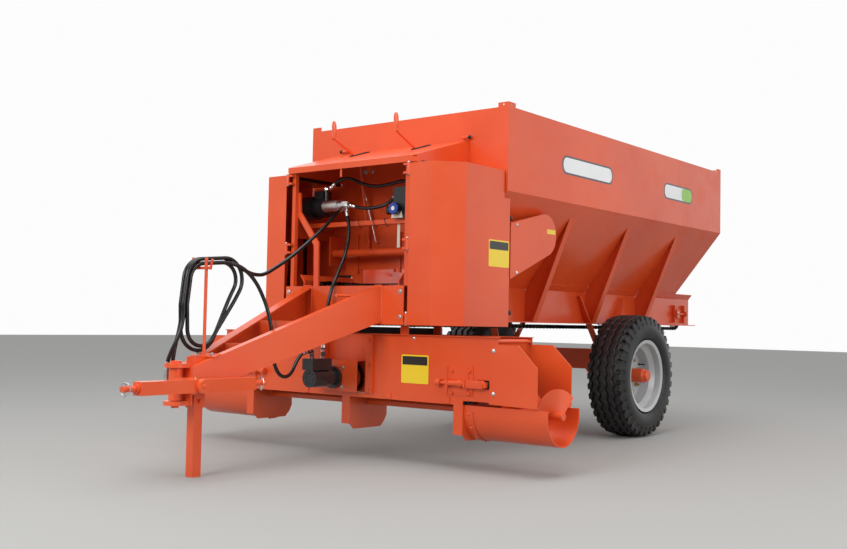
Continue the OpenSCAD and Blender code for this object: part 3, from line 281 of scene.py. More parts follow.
YELLOW_PLATE = painted("yellow_plate", (0.80, 0.56, 0.012), (0.86, 0.62, 0.020), 0.38, dust_share=0.05)
BLACK_PLATE = painted("black_plate", (0.010, 0.010, 0.010), (0.016, 0.016, 0.016), 0.38, dust_share=0.05)
WHITE_PLATE = painted("white_plate", (0.76, 0.77, 0.78), (0.82, 0.83, 0.84), 0.34, dust_share=0.05)
SLATE_PLATE = painted("slate_plate", (0.045, 0.055, 0.075), (0.06, 0.07, 0.09), 0.38, dust_share=0.05)
GREEN_PLATE = painted("green_plate", (0.23, 0.50, 0.045), (0.29, 0.57, 0.07), 0.36, dust_share=0.05)
CREAM_PAINT = painted("cream_paint", (0.62, 0.58, 0.47), (0.70, 0.66, 0.55), 0.45, dust_share=0.05)
BLUE_KNOB = painted("blue_knob", (0.010, 0.045, 0.32), (0.016, 0.07, 0.42), 0.3, dust_share=0.0)

FINISH_OF_SLOT = {
    "paint": ORANGE_PAINT, "floor_paint": FLOOR_PAINT, "black": BLACK_PAINT, "steel": ZINC,
    "hose_rubber": HOSE_RUBBER, "belt_rubber": BELT_RUBBER, "tyre_rubber": TYRE_RUBBER,
    "rim_silver": RIM_PAINT}
FINISH_OF_NODE = {"oil_filter": CAST_SILVER, "hose_couplers": BRIGHT_STEEL, "floor_conveyor": CHAIN_STEEL}


def finish_cad_nodes():
    for row in frame["record"]["subparts"]:
        finish = FINISH_OF_NODE.get(row["node"], FINISH_OF_SLOT[row["material_slot"]])
        mesh = nodes[row["node"]].data
        mesh.materials.clear()
        mesh.materials.append(finish)


finish_cad_nodes()


# Making and placing pieces

def place_piece(name, mesh, finish, body="chassis", smooth=None):
    """A finished piece at the origin, riding on its body; edges sharper than smooth degrees stay sharp."""
    mesh.materials.clear()
    mesh.materials.append(finish)
    if smooth is not None:
        mesh.shade_smooth()
        mesh.set_sharp_from_angle(angle=math.radians(smooth))
    piece = bpy.data.objects.new(name, mesh)
    scene.collection.objects.link(piece)
    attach(piece, body)
    return piece


MERGE_DISTANCE = 1e-6


def mesh_from(bm, name):
    bmesh.ops.remove_doubles(bm, verts=bm.verts, dist=MERGE_DISTANCE)
    bmesh.ops.recalc_face_normals(bm, faces=bm.faces)
    mesh = bpy.data.meshes.new(name)
    bm.to_mesh(mesh)
    bm.free()
    return mesh


@contextmanager
def new_piece(name, finish, body="chassis", slot=None, smooth=None):
    """Hands out an empty mesh to build in, then places it as one piece."""
    bm = bmesh.new()
    yield bm
    place_piece(name, mesh_from(bm, name), finish, body, smooth)


def frame_towards(direction, side=None):
    """A turn that takes +Z to direction, and +X towards side where it is given."""
    up = Vector(direction).normalized()
    if side is None:
        side = X_AXIS if abs(up.x) < 0.9 else Y_AXIS
    side = (Vector(side) - up * up.dot(Vector(side))).normalized()
    return Matrix((side, up.cross(side), up)).transposed().to_4x4()


def add_block(bm, low, high, bevel=0.0):
    low = Vector(low)
    high = Vector(high)
    made = bmesh.ops.create_cube(bm, size=1.0)["verts"]
    bmesh.ops.scale(bm, vec=high - low, verts=made)
    bmesh.ops.translate(bm, vec=(low + high) / 2, verts=made)
    if bevel:
        edges = list({e for v in made for e in v.link_edges})
        bmesh.ops.bevel(bm, geom=edges, offset=bevel, segments=2, affect="EDGES", profile=0.6)


def circle(radius, count):
    turns = [2 * math.pi * k / count for k in range(count)]
    return [(radius * math.cos(turn), radius * math.sin(turn)) for turn in turns]


def join_rings(bm, rings, closed=False):
    """Faces between neighbouring rings, where one point alone is a pole, and flat ends unless closed."""
    following = rings[1:] + rings[:1] if closed else rings[1:]
    for lower, upper in zip(rings, following):
        for k in range(max(len(lower), len(upper))):
            steps = ((lower, k), (lower, k + 1), (upper, k + 1), (upper, k))
            corners = [ring[step % len(ring)] for ring, step in steps]
            bm.faces.new(list(dict.fromkeys(corners)))
    if not closed:
        for end in (rings[0], rings[-1]):
            if len(end) > 1:
                bm.faces.new(end)


def add_turned(bm, profile, base, direction, segments=24):
    """Turns (radius, height) points about an axis that starts at base; a radius of 0 is a pole."""
    turn = Matrix.Translation(base) @ frame_towards(direction)
    rings = []
    for radius, height in profile:
        spots = circle(radius, segments) if radius else [(0, 0)]
        rings.append([bm.verts.new(turn @ Vector((u, v, height))) for u, v in spots])
    join_rings(bm, rings)


def add_rod(bm, base, direction, radius, length, segments):
    add_turned(bm, [(0, 0), (radius, 0), (radius, length), (0, length)], base, direction, segments)


def add_tube(bm, points, radius, sides=12, closed=False):
    """A round bar along points."""
    count = len(points)
    rings = []
    side = None
    for i, point in enumerate(points):
        before = points[(i - 1) % count] if closed else points[max(i - 1, 0)]
        after = points[(i + 1) % count] if closed else points[min(i + 1, count - 1)]
        turn = frame_towards(after - before, side).to_3x3()
        side = turn.col[0].copy()
        rings.append([bm.verts.new(point + turn @ Vector((u, v, 0))) for u, v in circle(radius, sides)])
    join_rings(bm, rings, closed)


def add_prism(bm, outline, base, direction, side, depth):
    """Extrudes a flat outline, given across side and the third axis, from base along direction."""
    turn = Matrix.Translation(base) @ frame_towards(direction, side)
    join_rings(bm, [[bm.verts.new(turn @ Vector((u, v, level))) for u, v in outline] for level in (0, depth)])


def smooth_line(points, steps=6):
    """A smooth curve through points, as a denser list."""
    padded = [2 * points[0] - points[1], *points, 2 * points[-1] - points[-2]]
    dense = []
    for before, start, end, after in zip(padded, padded[1:], padded[2:], padded[3:]):
        for k in range(steps):
            t = k / steps
            dense.append(0.5 * (
                2 * start + (end - before) * t
                + (2 * before - 5 * start + 4 * end - after) * t ** 2
                + (3 * start - before - 3 * end + after) * t ** 3))
    dense.append(points[-1].copy())
    return dense


# Hoses: both long ones leave a fitting, hang over the hook in turns and end in a coupler

HOSE_DIAMETER = 0.020
# The coil's middle line: bends of one radius round four places, named clockwise from the rear top
COIL_BEND = 0.095
COIL_KNOTS = [(1.305, 0.972), (1.440, 0.960), (1.455, 0.838), (1.450, 0.729)]
LANE = 0.011
# Points on the coil: the angle and length between them, where lanes change, and where the hose leaves
COIL_STEP_ANGLE = math.radians(9)
COIL_STEP = 0.03
LANE_CHANGE_ANGLE = math.radians(-120)
LEAVE_X = 1.452
LEAVE_Z = 0.815
ENTRY_EASE = 0.08
LEAVE_EASE = 0.16
# Each hose on the coil: degrees where it joins, its y in its lane, on joining and on leaving, and its lane
FEED_COIL = (98, -0.065, -0.065, -0.087, LANE)
RETURN_COIL = (80, -0.043, -0.041, -0.043, -LANE)

FEED_ROUTE = [
    (0.352, -0.150, 1.428), (0.382, -0.148, 1.410), (0.420, -0.142, 1.382), (0.470, -0.134, 1.342),
    (0.530, -0.125, 1.298), (0.590, -0.118, 1.257), (0.650, -0.111, 1.217), (0.710, -0.104, 1.178),
    (0.770, -0.097, 1.141), (0.830, -0.091, 1.105), (0.890, -0.085, 1.073), (0.950, -0.077, 1.044),
    (1.000, -0.069, 1.022), (1.046, -0.063, 1.008), (1.092, -0.060, 1.006), (1.137, -0.060, 1.014),
    (1.180, -0.062, 1.030), (1.222, -0.064, 1.050), (1.264, -0.065, 1.069)]
RETURN_ROUTE = [
    (0.694, -0.075, 0.608), (0.724, -0.075, 0.600), (0.758, -0.072, 0.574), (0.792, -0.062, 0.540),
    (0.830, -0.044, 0.508), (0.876, -0.022, 0.488), (0.926, 0.000, 0.482), (0.976, 0.016, 0.494),
    (1.014, 0.026, 0.526), (1.034, 0.026, 0.574), (1.036, 0.020, 0.630), (1.036, 0.013, 0.686),
    (1.038, 0.006, 0.740), (1.046, -0.002, 0.794), (1.060, -0.010, 0.848), (1.082, -0.016, 0.898),
    (1.110, -0.019, 0.944), (1.144, -0.020, 0.982), (1.182, -0.020, 1.012), (1.222, -0.021, 1.034),
    (1.262, -0.027, 1.048), (1.300, -0.038, 1.0555)]
LINK_ROUTE = [
    (0.318, -0.152, 1.422), (0.322, -0.140, 1.376), (0.332, -0.118, 1.326), (0.346, -0.104, 1.272),
    (0.362, -0.098, 1.216), (0.386, -0.092, 1.160), (0.420, -0.082, 1.108), (0.460, -0.068, 1.060),
    (0.500, -0.054, 1.014), (0.532, -0.048, 0.964), (0.550, -0.050, 0.910), (0.560, -0.054, 0.852),
    (0.566, -0.060, 0.792), (0.568, -0.067, 0.732), (0.566, -0.073, 0.676), (0.565, -0.075, 0.6275)]
MOTOR_HOSE_UPPER = [
    (0.282, -0.320, 1.560), (0.274, -0.282, 1.592), (0.262, -0.230, 1.612), (0.254, -0.176, 1.608),
    (0.248, -0.120, 1.586), (0.244, -0.060, 1.566), (0.240, 0.000, 1.556), (0.234, 0.060, 1.558),
    (0.228, 0.120, 1.566), (0.226, 0.172, 1.574), (0.232, 0.216, 1.570), (0.238, 0.246, 1.552),
    (0.240, 0.256, 1.531)]
MOTOR_HOSE_LOWER = [
    (0.318, -0.126, 1.446), (0.312, -0.080, 1.432), (0.302, -0.030, 1.424), (0.290, 0.020, 1.424),
    (0.276, 0.070, 1.432), (0.262, 0.112, 1.448), (0.254, 0.142, 1.470), (0.250, 0.160, 1.488),
    (0.248, 0.183, 1.500)]
FEED_TAIL = [
    (1.541, -0.088, 0.755), (1.547, -0.091, 0.712), (1.558, -0.093, 0.665), (1.568, -0.095, 0.610),
    (1.572, -0.097, 0.560), (1.570, -0.097, 0.510)]
RETURN_TAIL = [
    (1.563, -0.043, 0.765), (1.572, -0.045, 0.722), (1.586, -0.052, 0.676), (1.598, -0.066, 0.634),
    (1.605, -0.082, 0.594), (1.606, -0.093, 0.560), (1.604, -0.097, 0.530)]


def eased(value, start, end):
    share = min(max((value - start) / (end - start), 0.0), 1.0)
    return share * share * (3 - 2 * share)


def coil_loop():
    """One clockwise turn as (distance, knot place, outward angle), from the rear top's bend."""
    places = [Vector(knot) for knot in COIL_KNOTS]
    count = len(places)
    angles = []
    for start, end in zip(places, places[1:] + places[:1]):
        onward = end - start
        angles.append(math.atan2(onward.x, -onward.y))
    turn = []
    distance = 0.0
    for i, knot in enumerate(places):
        arriving = angles[i - 1] if i else angles[-1] + 2 * math.pi
        leaving = angles[i]
        steps = max(2, round((arriving - leaving) / COIL_STEP_ANGLE))
        for k in range(steps):
            turn.append((distance, knot, arriving + (leaving - arriving) * k / steps))
            distance += COIL_BEND * (arriving - leaving) / steps
        straight = places[(i + 1) % count] - knot
        parts = max(1, round(straight.length / COIL_STEP))
        for k in range(parts):
            turn.append((distance, knot + straight * k / parts, leaving))
            distance += straight.length / parts
    return turn, distance


def coil_turns(entry_angle, lane_y, entry_y, leave_y, first_lane):
    """About one and a half turns: the lane changes on the rear side, the hose leaves in front."""
    turn, length = coil_loop()
    entry = next(row[0] for row in turn if row[2] <= math.radians(entry_angle))
    leave = next(row[0] for row in turn if row[1].x > LEAVE_X and row[1].y < LEAVE_Z) + length
    rear_start = next(row[0] for row in turn if row[2] < LANE_CHANGE_ANGLE)
    points = []
    for round_number in (0, 1):
        for distance, knot, angle in turn:
            along = distance + round_number * length
            if along < entry or along > leave:
                continue
            lane = first_lane * (1 - 2 * eased(along, rear_start, length))
            reach = COIL_BEND + lane
            y = entry_y + (lane_y - entry_y) * eased(along, entry, entry + ENTRY_EASE)
            y += (leave_y - lane_y) * eased(along, leave - LEAVE_EASE, leave)
            points.append((knot.x + reach * math.cos(angle), y, knot.y + reach * math.sin(angle)))
    return points


def make_hose(name, route, replaced):
    line = smooth_line([at(*point) for point in route])
    data = bpy.data.curves.new(name, "CURVE")
    data.dimensions = "3D"
    data.bevel_depth = HOSE_DIAMETER / 2
    data.bevel_resolution = 3
    data.use_fill_caps = True
    spline = data.splines.new("POLY")
    spline.points.add(len(line) - 1)
    for point, place in zip(spline.points, line):
        point.co = (*place, 1.0)
    spline.use_smooth = True
    data.materials.append(HOSE_RUBBER)
    hose = bpy.data.objects.new(name, data)
    scene.collection.objects.link(hose)
    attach(hose, "chassis")
    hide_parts(*replaced)


FERRULE_LENGTH = 0.042
FERRULE_PROFILE = [
    (0.0105, 0.0), (0.0125, 0.001), (0.0125, 0.010), (0.0118, 0.012), (0.0118, 0.016), (0.0125, 0.018),
    (0.0125, 0.030), (0.0112, 0.033), (0.0112, FERRULE_LENGTH)]


def make_ferrule(name, route):
    """A crimped sleeve on the first stretch of a hose."""
    bm = bmesh.new()
    start = at(*route[0])
    onward = at(*route[1]) - start
    add_turned(bm, FERRULE_PROFILE, start, onward, 20)
    return place_piece(name, mesh_from(bm, name), BRIGHT_STEEL, smooth=35)


def make_hoses():
    feed = FEED_ROUTE + coil_turns(*FEED_COIL) + FEED_TAIL
    back = RETURN_ROUTE + coil_turns(*RETURN_COIL) + RETURN_TAIL
    ends = {
        "feed": [
            make_ferrule("ferrule_feed", FEED_ROUTE), make_ferrule("ferrule_feed_tail", FEED_TAIL[::-1])],
        "return": [make_ferrule("ferrule_return", RETURN_ROUTE),
                   make_ferrule("ferrule_return_tail", RETURN_TAIL[::-1])],
        "link": [
            make_ferrule("ferrule_link", LINK_ROUTE), make_ferrule("ferrule_link_low", LINK_ROUTE[::-1])],
        "upper": [make_ferrule("ferrule_upper", MOTOR_HOSE_UPPER)],
        "lower": [make_ferrule("ferrule_lower", MOTOR_HOSE_LOWER),
                  make_ferrule("ferrule_lower_end", MOTOR_HOSE_LOWER[::-1])]}
    make_hose("feed_hose", feed, ["hose_feed", "hose_coil", "hose_tails"])
    make_hose("return_hose", back, ["hose_return"])
    make_hose("link_hose", LINK_ROUTE, ["hose_link"])
    make_hose("motor_hose_upper", MOTOR_HOSE_UPPER, ["hose_inner"])
    make_hose("motor_hose_lower", MOTOR_HOSE_LOWER, [])


make_hoses()


# Repeats: one Geometry Nodes tree sets a small part at every marked place

def make_repeat_tree():
    tree = bpy.data.node_groups.new("set_small_parts", "GeometryNodeTree")
    sockets = tree.interface
    sockets.new_socket("Places", in_out="INPUT", socket_type="NodeSocketGeometry")
    sockets.new_socket("Small part", in_out="INPUT", socket_type="NodeSocketObject")
    sockets.new_socket("Size", in_out="INPUT", socket_type="NodeSocketFloat").default_value = 1.0
    sockets.new_socket("Finish", in_out="INPUT", socket_type="NodeSocketMaterial")
    sockets.new_socket("Parts", in_out="OUTPUT", socket_type="NodeSocketGeometry")
    inlet = tree.nodes.new("NodeGroupInput")
    outlet = tree.nodes.new("NodeGroupOutput")
    points = tree.nodes.new("GeometryNodeMeshToPoints")
    source = tree.nodes.new("GeometryNodeObjectInfo")
    facing = add_node(tree, "GeometryNodeInputNamedAttribute", data_type="FLOAT_VECTOR")
    facing.inputs["Name"].default_value = "facing"
    along = add_node(tree, "GeometryNodeInputNamedAttribute", data_type="FLOAT_VECTOR")
    along.inputs["Name"].default_value = "along"
    stand = add_node(tree, "FunctionNodeAlignRotationToVector", axis="Z")
    turn = add_node(tree, "FunctionNodeAlignRotationToVector", axis="X", pivot_axis="Z")
    set_parts = tree.nodes.new("GeometryNodeInstanceOnPoints")
    realize = tree.nodes.new("GeometryNodeRealizeInstances")
    finish = tree.nodes.new("GeometryNodeSetMaterial")
    link = tree.links.new
    link(inlet.outputs["Places"], points.inputs["Mesh"])
    link(inlet.outputs["Small part"], source.inputs["Object"])
    link(facing.outputs["Attribute"], stand.inputs["Vector"])
    link(stand.outputs["Rotation"], turn.inputs["Rotation"])
    link(along.outputs["Attribute"], turn.inputs["Vector"])
    link(points.outputs["Points"], set_parts.inputs["Points"])
    link(source.outputs["Geometry"], set_parts.inputs["Instance"])
    link(turn.outputs["Rotation"], set_parts.inputs["Rotation"])
    link(inlet.outputs["Size"], set_parts.inputs["Scale"])
    link(set_parts.outputs["Instances"], realize.inputs["Geometry"])
    link(realize.outputs["Geometry"], finish.inputs["Geometry"])
    link(inlet.outputs["Finish"], finish.inputs["Material"])
    link(finish.outputs["Geometry"], outlet.inputs["Parts"])
    return tree


REPEAT_TREE = make_repeat_tree()


def socket_id(tree, label):
    return next(item.identifier for item in tree.interface.items_tree
                if item.name == label and item.in_out == "INPUT")


def set_repeats(name, part_mesh, places, finish, body="chassis", size=1.0, smooth=35):
    """places are (point, facing, along); the result is one plain mesh on one body."""
    marks = bpy.data.meshes.new(name + "_places")
    marks.from_pydata([tuple(p) for p, _, _ in places], [], [])
    for label, index in (("facing", 1), ("along", 2)):
        attribute = marks.attributes.new(label, "FLOAT_VECTOR", "POINT")
        attribute.data.foreach_set("vector", [c for place in places for c in place[index]])
    holder = bpy.data.objects.new(name + "_places", marks)
    part = bpy.data.objects.new(name + "_part", part_mesh)
    scene.collection.objects.link(holder)
    scene.collection.objects.link(part)
    modifier = holder.modifiers.new("set_small_parts", "NODES")
    modifier.node_group = REPEAT_TREE
    modifier[socket_id(REPEAT_TREE, "Small part")] = part
    modifier[socket_id(REPEAT_TREE, "Size")] = size
    modifier[socket_id(REPEAT_TREE, "Finish")] = finish
    bpy.context.view_layer.update()
    settled = holder.evaluated_get(bpy.context.evaluated_depsgraph_get())
    mesh = bpy.data.meshes.new_from_object(settled)
    holder.modifiers.remove(modifier)
    bpy.data.objects.remove(holder)
    bpy.data.objects.remove(part)
    place_piece(name, mesh, finish, body, smooth)


# Small parts, each drawn about its seat with +Z outwards

WASHER_THICK = 0.0018
# Nested parts of one fastener reach this far into each other
OVERLAP = 0.0001
# A hexagon's chamfer starts at this share of its height and leaves this share of its radius
CHAMFER_START = 0.88
CHAMFER_TOP = 0.86
DOME_ROWS = 5


def hex_bolt_mesh(radius, height, washer):
    bm = bmesh.new()
    add_rod(bm, Vector(), Z_AXIS, washer, WASHER_THICK, 16)
    seat = WASHER_THICK - OVERLAP
    profile = [(0, seat), (radius, seat), (radius, height * CHAMFER_START), (radius * CHAMFER_TOP, height),
               (0, height)]
    add_turned(bm, profile, Vector(), Z_AXIS, 6)
    return mesh_from(bm, "hex_bolt")


def dome_bolt_mesh(radius, height):
    bm = bmesh.new()
    angles = [math.pi / 2 * k / DOME_ROWS for k in range(DOME_ROWS)]
    profile = [(radius * math.cos(angle), height * math.sin(angle)) for angle in angles]
    add_turned(bm, [(0, 0), *profile, (0, height)], Vector(), Z_AXIS, 14)
    return mesh_from(bm, "dome_bolt")


# Washer, nut and stud end of a wheel nut, each with its number of sides
WHEEL_NUT_PARTS = [
    ([(0, 0), (0.016, 0), (0.016, 0.003), (0, 0.003)], 18),
    ([(0, 0.002), (0.0145, 0.002), (0.0145, 0.016), (0.012, 0.019), (0, 0.019)], 6),
    ([(0, 0.018), (0.0075, 0.018), (0.0075, 0.030), (0.006, 0.032), (0, 0.032)], 12)]


def wheel_nut_mesh():
    bm = bmesh.new()
    for profile, segments in WHEEL_NUT_PARTS:
        add_turned(bm, profile, Vector(), Z_AXIS, segments)
    return mesh_from(bm, "wheel_nut")


def ring_of(middle, facing, radius, count, start=0.0):
    turn = frame_towards(facing)
    places = []
    for k in range(count):
        angle = start + 2 * math.pi * k / count
        spoke = turn.to_3x3() @ Vector((math.cos(angle), math.sin(angle), 0))
        places.append((middle + radius * spoke, facing, spoke))
    return places


# Wheels: the tread is cut by wavy grooves and by slots between the shoulder lugs

WHEEL_X = -1.760
WHEEL_Z = 0.442
TRACK_HALF = 0.618
TYRE_RADIUS = 0.412
TREAD_HALF = 0.116
TREAD_DEPTH = 0.016
TREAD_WAVES = 36
TREAD_STEPS = 12
GROOVES = (-0.078, -0.028, 0.028, 0.078)
GROOVE_HALF = 0.0078
WAVE_SWING = 0.0065
SIDEWALL = [
    (0.2475, 0.1035), (0.250, 0.109), (0.258, 0.121), (0.268, 0.1285), (0.284, 0.1338), (0.303, 0.1362),
    (0.320, 0.1364), (0.334, 0.1342), (0.347, 0.1308), (0.359, 0.1274), (0.371, 0.1240), (0.383, 0.1208),
    (0.394, 0.1180)]
TREAD_COLUMNS = 84
SHOULDER_SLOT = 0.42
SHOULDER_INNER = 0.094
SHOULDER_END_RADIUS = 0.356
SHOULDER_DEPTH = 0.022
CROWN_DROP = 0.009
CROWN_FLAT = 0.062
EDGE_SOFTNESS = 0.0018
# Metres that stand for one wave at the slots' edges, how soft these are, and where the slots fade out
WAVE_METRES = 0.08
SHOULDER_SOFTNESS = 0.003
SHOULDER_FADE = (-0.01, 0.012)


def tread_height(y):
    """Radius of the tread's top across the tyre, lower at the shoulders."""
    return TYRE_RADIUS - CROWN_DROP * eased(abs(y), CROWN_FLAT, TREAD_HALF)


def soft_step(distance, width=EDGE_SOFTNESS):
    return eased(distance, -width, width)


def cut_depth(phase, y, radius):
    """How deep the tread is cut at this place: wavy grooves and slots between the shoulder lugs."""
    swing = WAVE_SWING * math.sin(2 * math.pi * phase)
    cut = 0.0
    for groove in GROOVES:
        cut = max(cut, soft_step(GROOVE_HALF - abs(y - groove - swing)))
    share = phase % 1.0
    slot_edge = SHOULDER_SLOT / 2 - abs(share - 0.5)
    slot = soft_step(slot_edge * WAVE_METRES, SHOULDER_SOFTNESS)
    slot *= soft_step(abs(y) - SHOULDER_INNER, SHOULDER_SOFTNESS)
    slot *= eased(radius, SHOULDER_END_RADIUS + SHOULDER_FADE[0], SHOULDER_END_RADIUS + SHOULDER_FADE[1])
    return max(TREAD_DEPTH * cut, SHOULDER_DEPTH * slot)


def tyre_mesh(side):
    inner_half = [(r, -y) for r, y in SIDEWALL]
    columns = [-TREAD_HALF + 2 * TREAD_HALF * k / TREAD_COLUMNS for k in range(TREAD_COLUMNS + 1)]
    tread = [(tread_height(y), y) for y in columns]
    section = inner_half + tread + SIDEWALL[::-1]
    count = TREAD_WAVES * TREAD_STEPS
    bm = bmesh.new()
    rows = []
    for i in range(count):
        angle = 2 * math.pi * i / count
        phase = i / TREAD_STEPS
        row = []
        for radius, y in section:
            low = radius - cut_depth(phase, y, radius)
            row.append(bm.verts.new(at(
                WHEEL_X + low * math.cos(angle), side * (TRACK_HALF + y), WHEEL_Z + low * math.sin(angle))))
        rows.append(row)
    join_rings(bm, rows, closed=True)
    return mesh_from(bm, "tyre")


# Outwards from the tyre's middle: the rim disc's face, in from it, and the hub cap's end, out from it
DISC_IN = 0.006
CAP_OUT = 0.104
NUT_CIRCLE = 0.1025
NUT_COUNT = 6
NUT_TURN = 0.35
HUB_RING = [(0, 0), (0.0415, 0), (0.0415, 0.004), (0.040, 0.006), (0.0375, 0.006), (0, 0.006)]
VALVE_STEM = [
    (0, 0), (0.008, 0), (0.007, 0.006), (0.0045, 0.010), (0.0045, 0.034), (0.0055, 0.035),
    (0.0055, 0.045), (0, 0.046)]
VALVE_PLACE = (-0.150, -0.020, 0.070)


def on_wheel(side, x, out, z):
    """A place given from the wheel's middle, with out away from the machine."""
    return at(WHEEL_X + x, side * (TRACK_HALF + out), WHEEL_Z + z)


def make_wheels():
    for side, name in ((1, "left"), (-1, "right")):
        body = "wheel_" + name
        outward = side * Y_AXIS
        tyre = place_piece("tread_tyre_" + name, tyre_mesh(side), TYRE_RUBBER, body, 40)
        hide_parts("tyre_" + name)
        nuts = ring_of(on_wheel(side, 0, -DISC_IN, 0), outward, NUT_CIRCLE, NUT_COUNT, NUT_TURN)
        set_repeats("wheel_nuts_" + name, wheel_nut_mesh(), nuts, GOLD_ZINC, body)
        with new_piece("hub_cap_ring_" + name, ORANGE_PAINT, body, "paint", 35) as bm:
            add_turned(bm, HUB_RING, on_wheel(side, 0, CAP_OUT, 0), outward, 40)
        with new_piece("valve_stem_" + name, LATCH_RUBBER, body, "tyre_rubber", 35) as bm:
            add_turned(bm, VALVE_STEM, on_wheel(side, *VALVE_PLACE), outward, 12)


make_wheels()


# Screw: the tube and its two flights, drawn round

SCREW_X = 0.280
SCREW_Z = 0.330
SCREW_END = 1.288
SCREW_TUBE = 0.021
FLIGHT_RADIUS = 0.132
FLIGHT_PITCH = 0.200
FLIGHT_THICK = 0.006
FLIGHT_START = 0.9950
FLIGHT_STEP = 20
FLIGHT_FINE = 5
# How far the flights reach into the tube, the tube's chamfer, and how far the flights end before the tube
FLIGHT_ROOT = 0.003
TUBE_EDGE = 0.0015
TUBE_BARE = 0.006


def about_screw(radius, angle, y):
    """A place at this radius and angle about the screw's axis."""
    return at(SCREW_X + radius * math.cos(angle), y, SCREW_Z + radius * math.sin(angle))


def add_flight(bm, hand, start, end):
    """A spiral plate of four corner lines, wound to the hand given."""
    steps = math.floor((end - start) / FLIGHT_PITCH * 360 / FLIGHT_STEP) * FLIGHT_FINE
    root = SCREW_TUBE - FLIGHT_ROOT
    corners = [(root, 0), (FLIGHT_RADIUS, 0), (FLIGHT_RADIUS, FLIGHT_THICK), (root, FLIGHT_THICK)]
    rows = []
    for i in range(steps + 1):
        angle = hand * math.radians(i * FLIGHT_STEP / FLIGHT_FINE)
        y = start + (end - start - FLIGHT_THICK) * i / steps
        rows.append([bm.verts.new(about_screw(radius, angle, y + off)) for radius, off in corners])
    join_rings(bm, rows)


def make_screw():
    bm = bmesh.new()
    length = 2 * SCREW_END
    inner = SCREW_TUBE - TUBE_EDGE
    add_turned(bm, [(inner, 0), (SCREW_TUBE, TUBE_EDGE), (SCREW_TUBE, length - TUBE_EDGE), (inner, length)],
               at(SCREW_X, -SCREW_END, SCREW_Z), Y_AXIS, 40)
    add_flight(bm, 1, FLIGHT_START, SCREW_END - TUBE_BARE)
    add_flight(bm, -1, TUBE_BARE - SCREW_END, -FLIGHT_START)
    screw = place_piece("round_screw", mesh_from(bm, "round_screw"), ORANGE_PAINT, "screw_rotor", 40)
    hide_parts("screw")


make_screw()


# Chains

# Shares of a link's height and width: its waist, its plates' thickness and its roller's radius
LINK_WAIST = 0.36
LINK_PLATE = 0.16
LINK_ROLLER = 0.30
LINK_ROUNDING = 8


def chain_link_mesh(pitch, height, width):
    """Two waisted side plates and a roller; +X runs along the chain."""
    bm = bmesh.new()
    half = pitch / 2
    plate = []
    for end, start in ((1, -math.pi / 2), (-1, math.pi / 2)):
        for k in range(LINK_ROUNDING + 1):
            angle = start + math.pi * k / LINK_ROUNDING
            plate.append((end * half + height / 2 * math.cos(angle), height / 2 * math.sin(angle)))
        plate.append((0, end * height * LINK_WAIST))
    thick = width * LINK_PLATE
    for y in (-width / 2, width / 2 - thick):
        add_prism(bm, [(u, -v) for u, v in plate], Vector((0, y, 0)), Y_AXIS, X_AXIS, thick)
    add_rod(bm, Vector((half, -width / 2, 0)), Y_AXIS, height * LINK_ROLLER, width, 10)
    return mesh_from(bm, "chain_link")


CHAIN_PITCH = 0.041
CHAIN_HEIGHT = 0.0262
CHAIN_WIDTH = 0.0265
CHAIN_RADIUS = 0.116
CHAIN_SIDE = 0.324
SHAFT_Z = 0.880
DRIVE_X = 0.280
IDLER_X = -3.060


def loop_place(distance):
    """Point, outward side and direction on the conveyor chain's loop."""
    run = DRIVE_X - IDLER_X
    bend = math.pi * CHAIN_RADIUS
    distance %= 2 * (run + bend)
    if distance < run:
        return (IDLER_X + distance, SHAFT_Z + CHAIN_RADIUS), Z_AXIS, X_AXIS
    distance -= run
    if distance < bend:
        angle = math.pi / 2 - distance / CHAIN_RADIUS
        centre = DRIVE_X
    elif distance < bend + run:
        return (DRIVE_X - (distance - bend), SHAFT_Z - CHAIN_RADIUS), -Z_AXIS, -X_AXIS
    else:
        angle = -math.pi / 2 - (distance - bend - run) / CHAIN_RADIUS
        centre = IDLER_X
    outward = Vector((math.cos(angle), 0, math.sin(angle)))
    forward = Vector((math.sin(angle), 0, -math.cos(angle)))
    place = (centre + CHAIN_RADIUS * outward.x, SHAFT_Z + CHAIN_RADIUS * outward.z)
    return place, outward, forward


def make_floor_chains():
    length = 2 * (DRIVE_X - IDLER_X + math.pi * CHAIN_RADIUS)
    count = round(length / CHAIN_PITCH)
    places = []
    for y in (-CHAIN_SIDE, CHAIN_SIDE):
        for k in range(count):
            (x, z), outward, forward = loop_place(k * length / count)
            places.append((at(x, y, z), outward, forward))
    link = chain_link_mesh(length / count, CHAIN_HEIGHT, CHAIN_WIDTH)
    set_repeats("floor_chain_links", link, places, CHAIN_STEEL)


make_floor_chains()

ROLLER_PITCH = 0.0254
DRIVE_LINK = 0.0165
# The wheels under the drive chain, as x, z and the chain's radius
MOTOR_WHEEL = (0.260, 1.450, 0.045)
SHAFT_WHEEL = (0.280, 0.880, 0.075)
DRIVE_CHAIN_Y = -0.586
# The chain in the open case: middle, radius, number of links, and degrees it reaches to each side
CASE_MIDDLE = (0.428, 0.020, 0.465)
CASE_RADIUS = 0.0745
CASE_LINKS = 17
CASE_REACH = 112
CASE_LINK = (ROLLER_PITCH * 0.7, 0.0140, 0.0170)


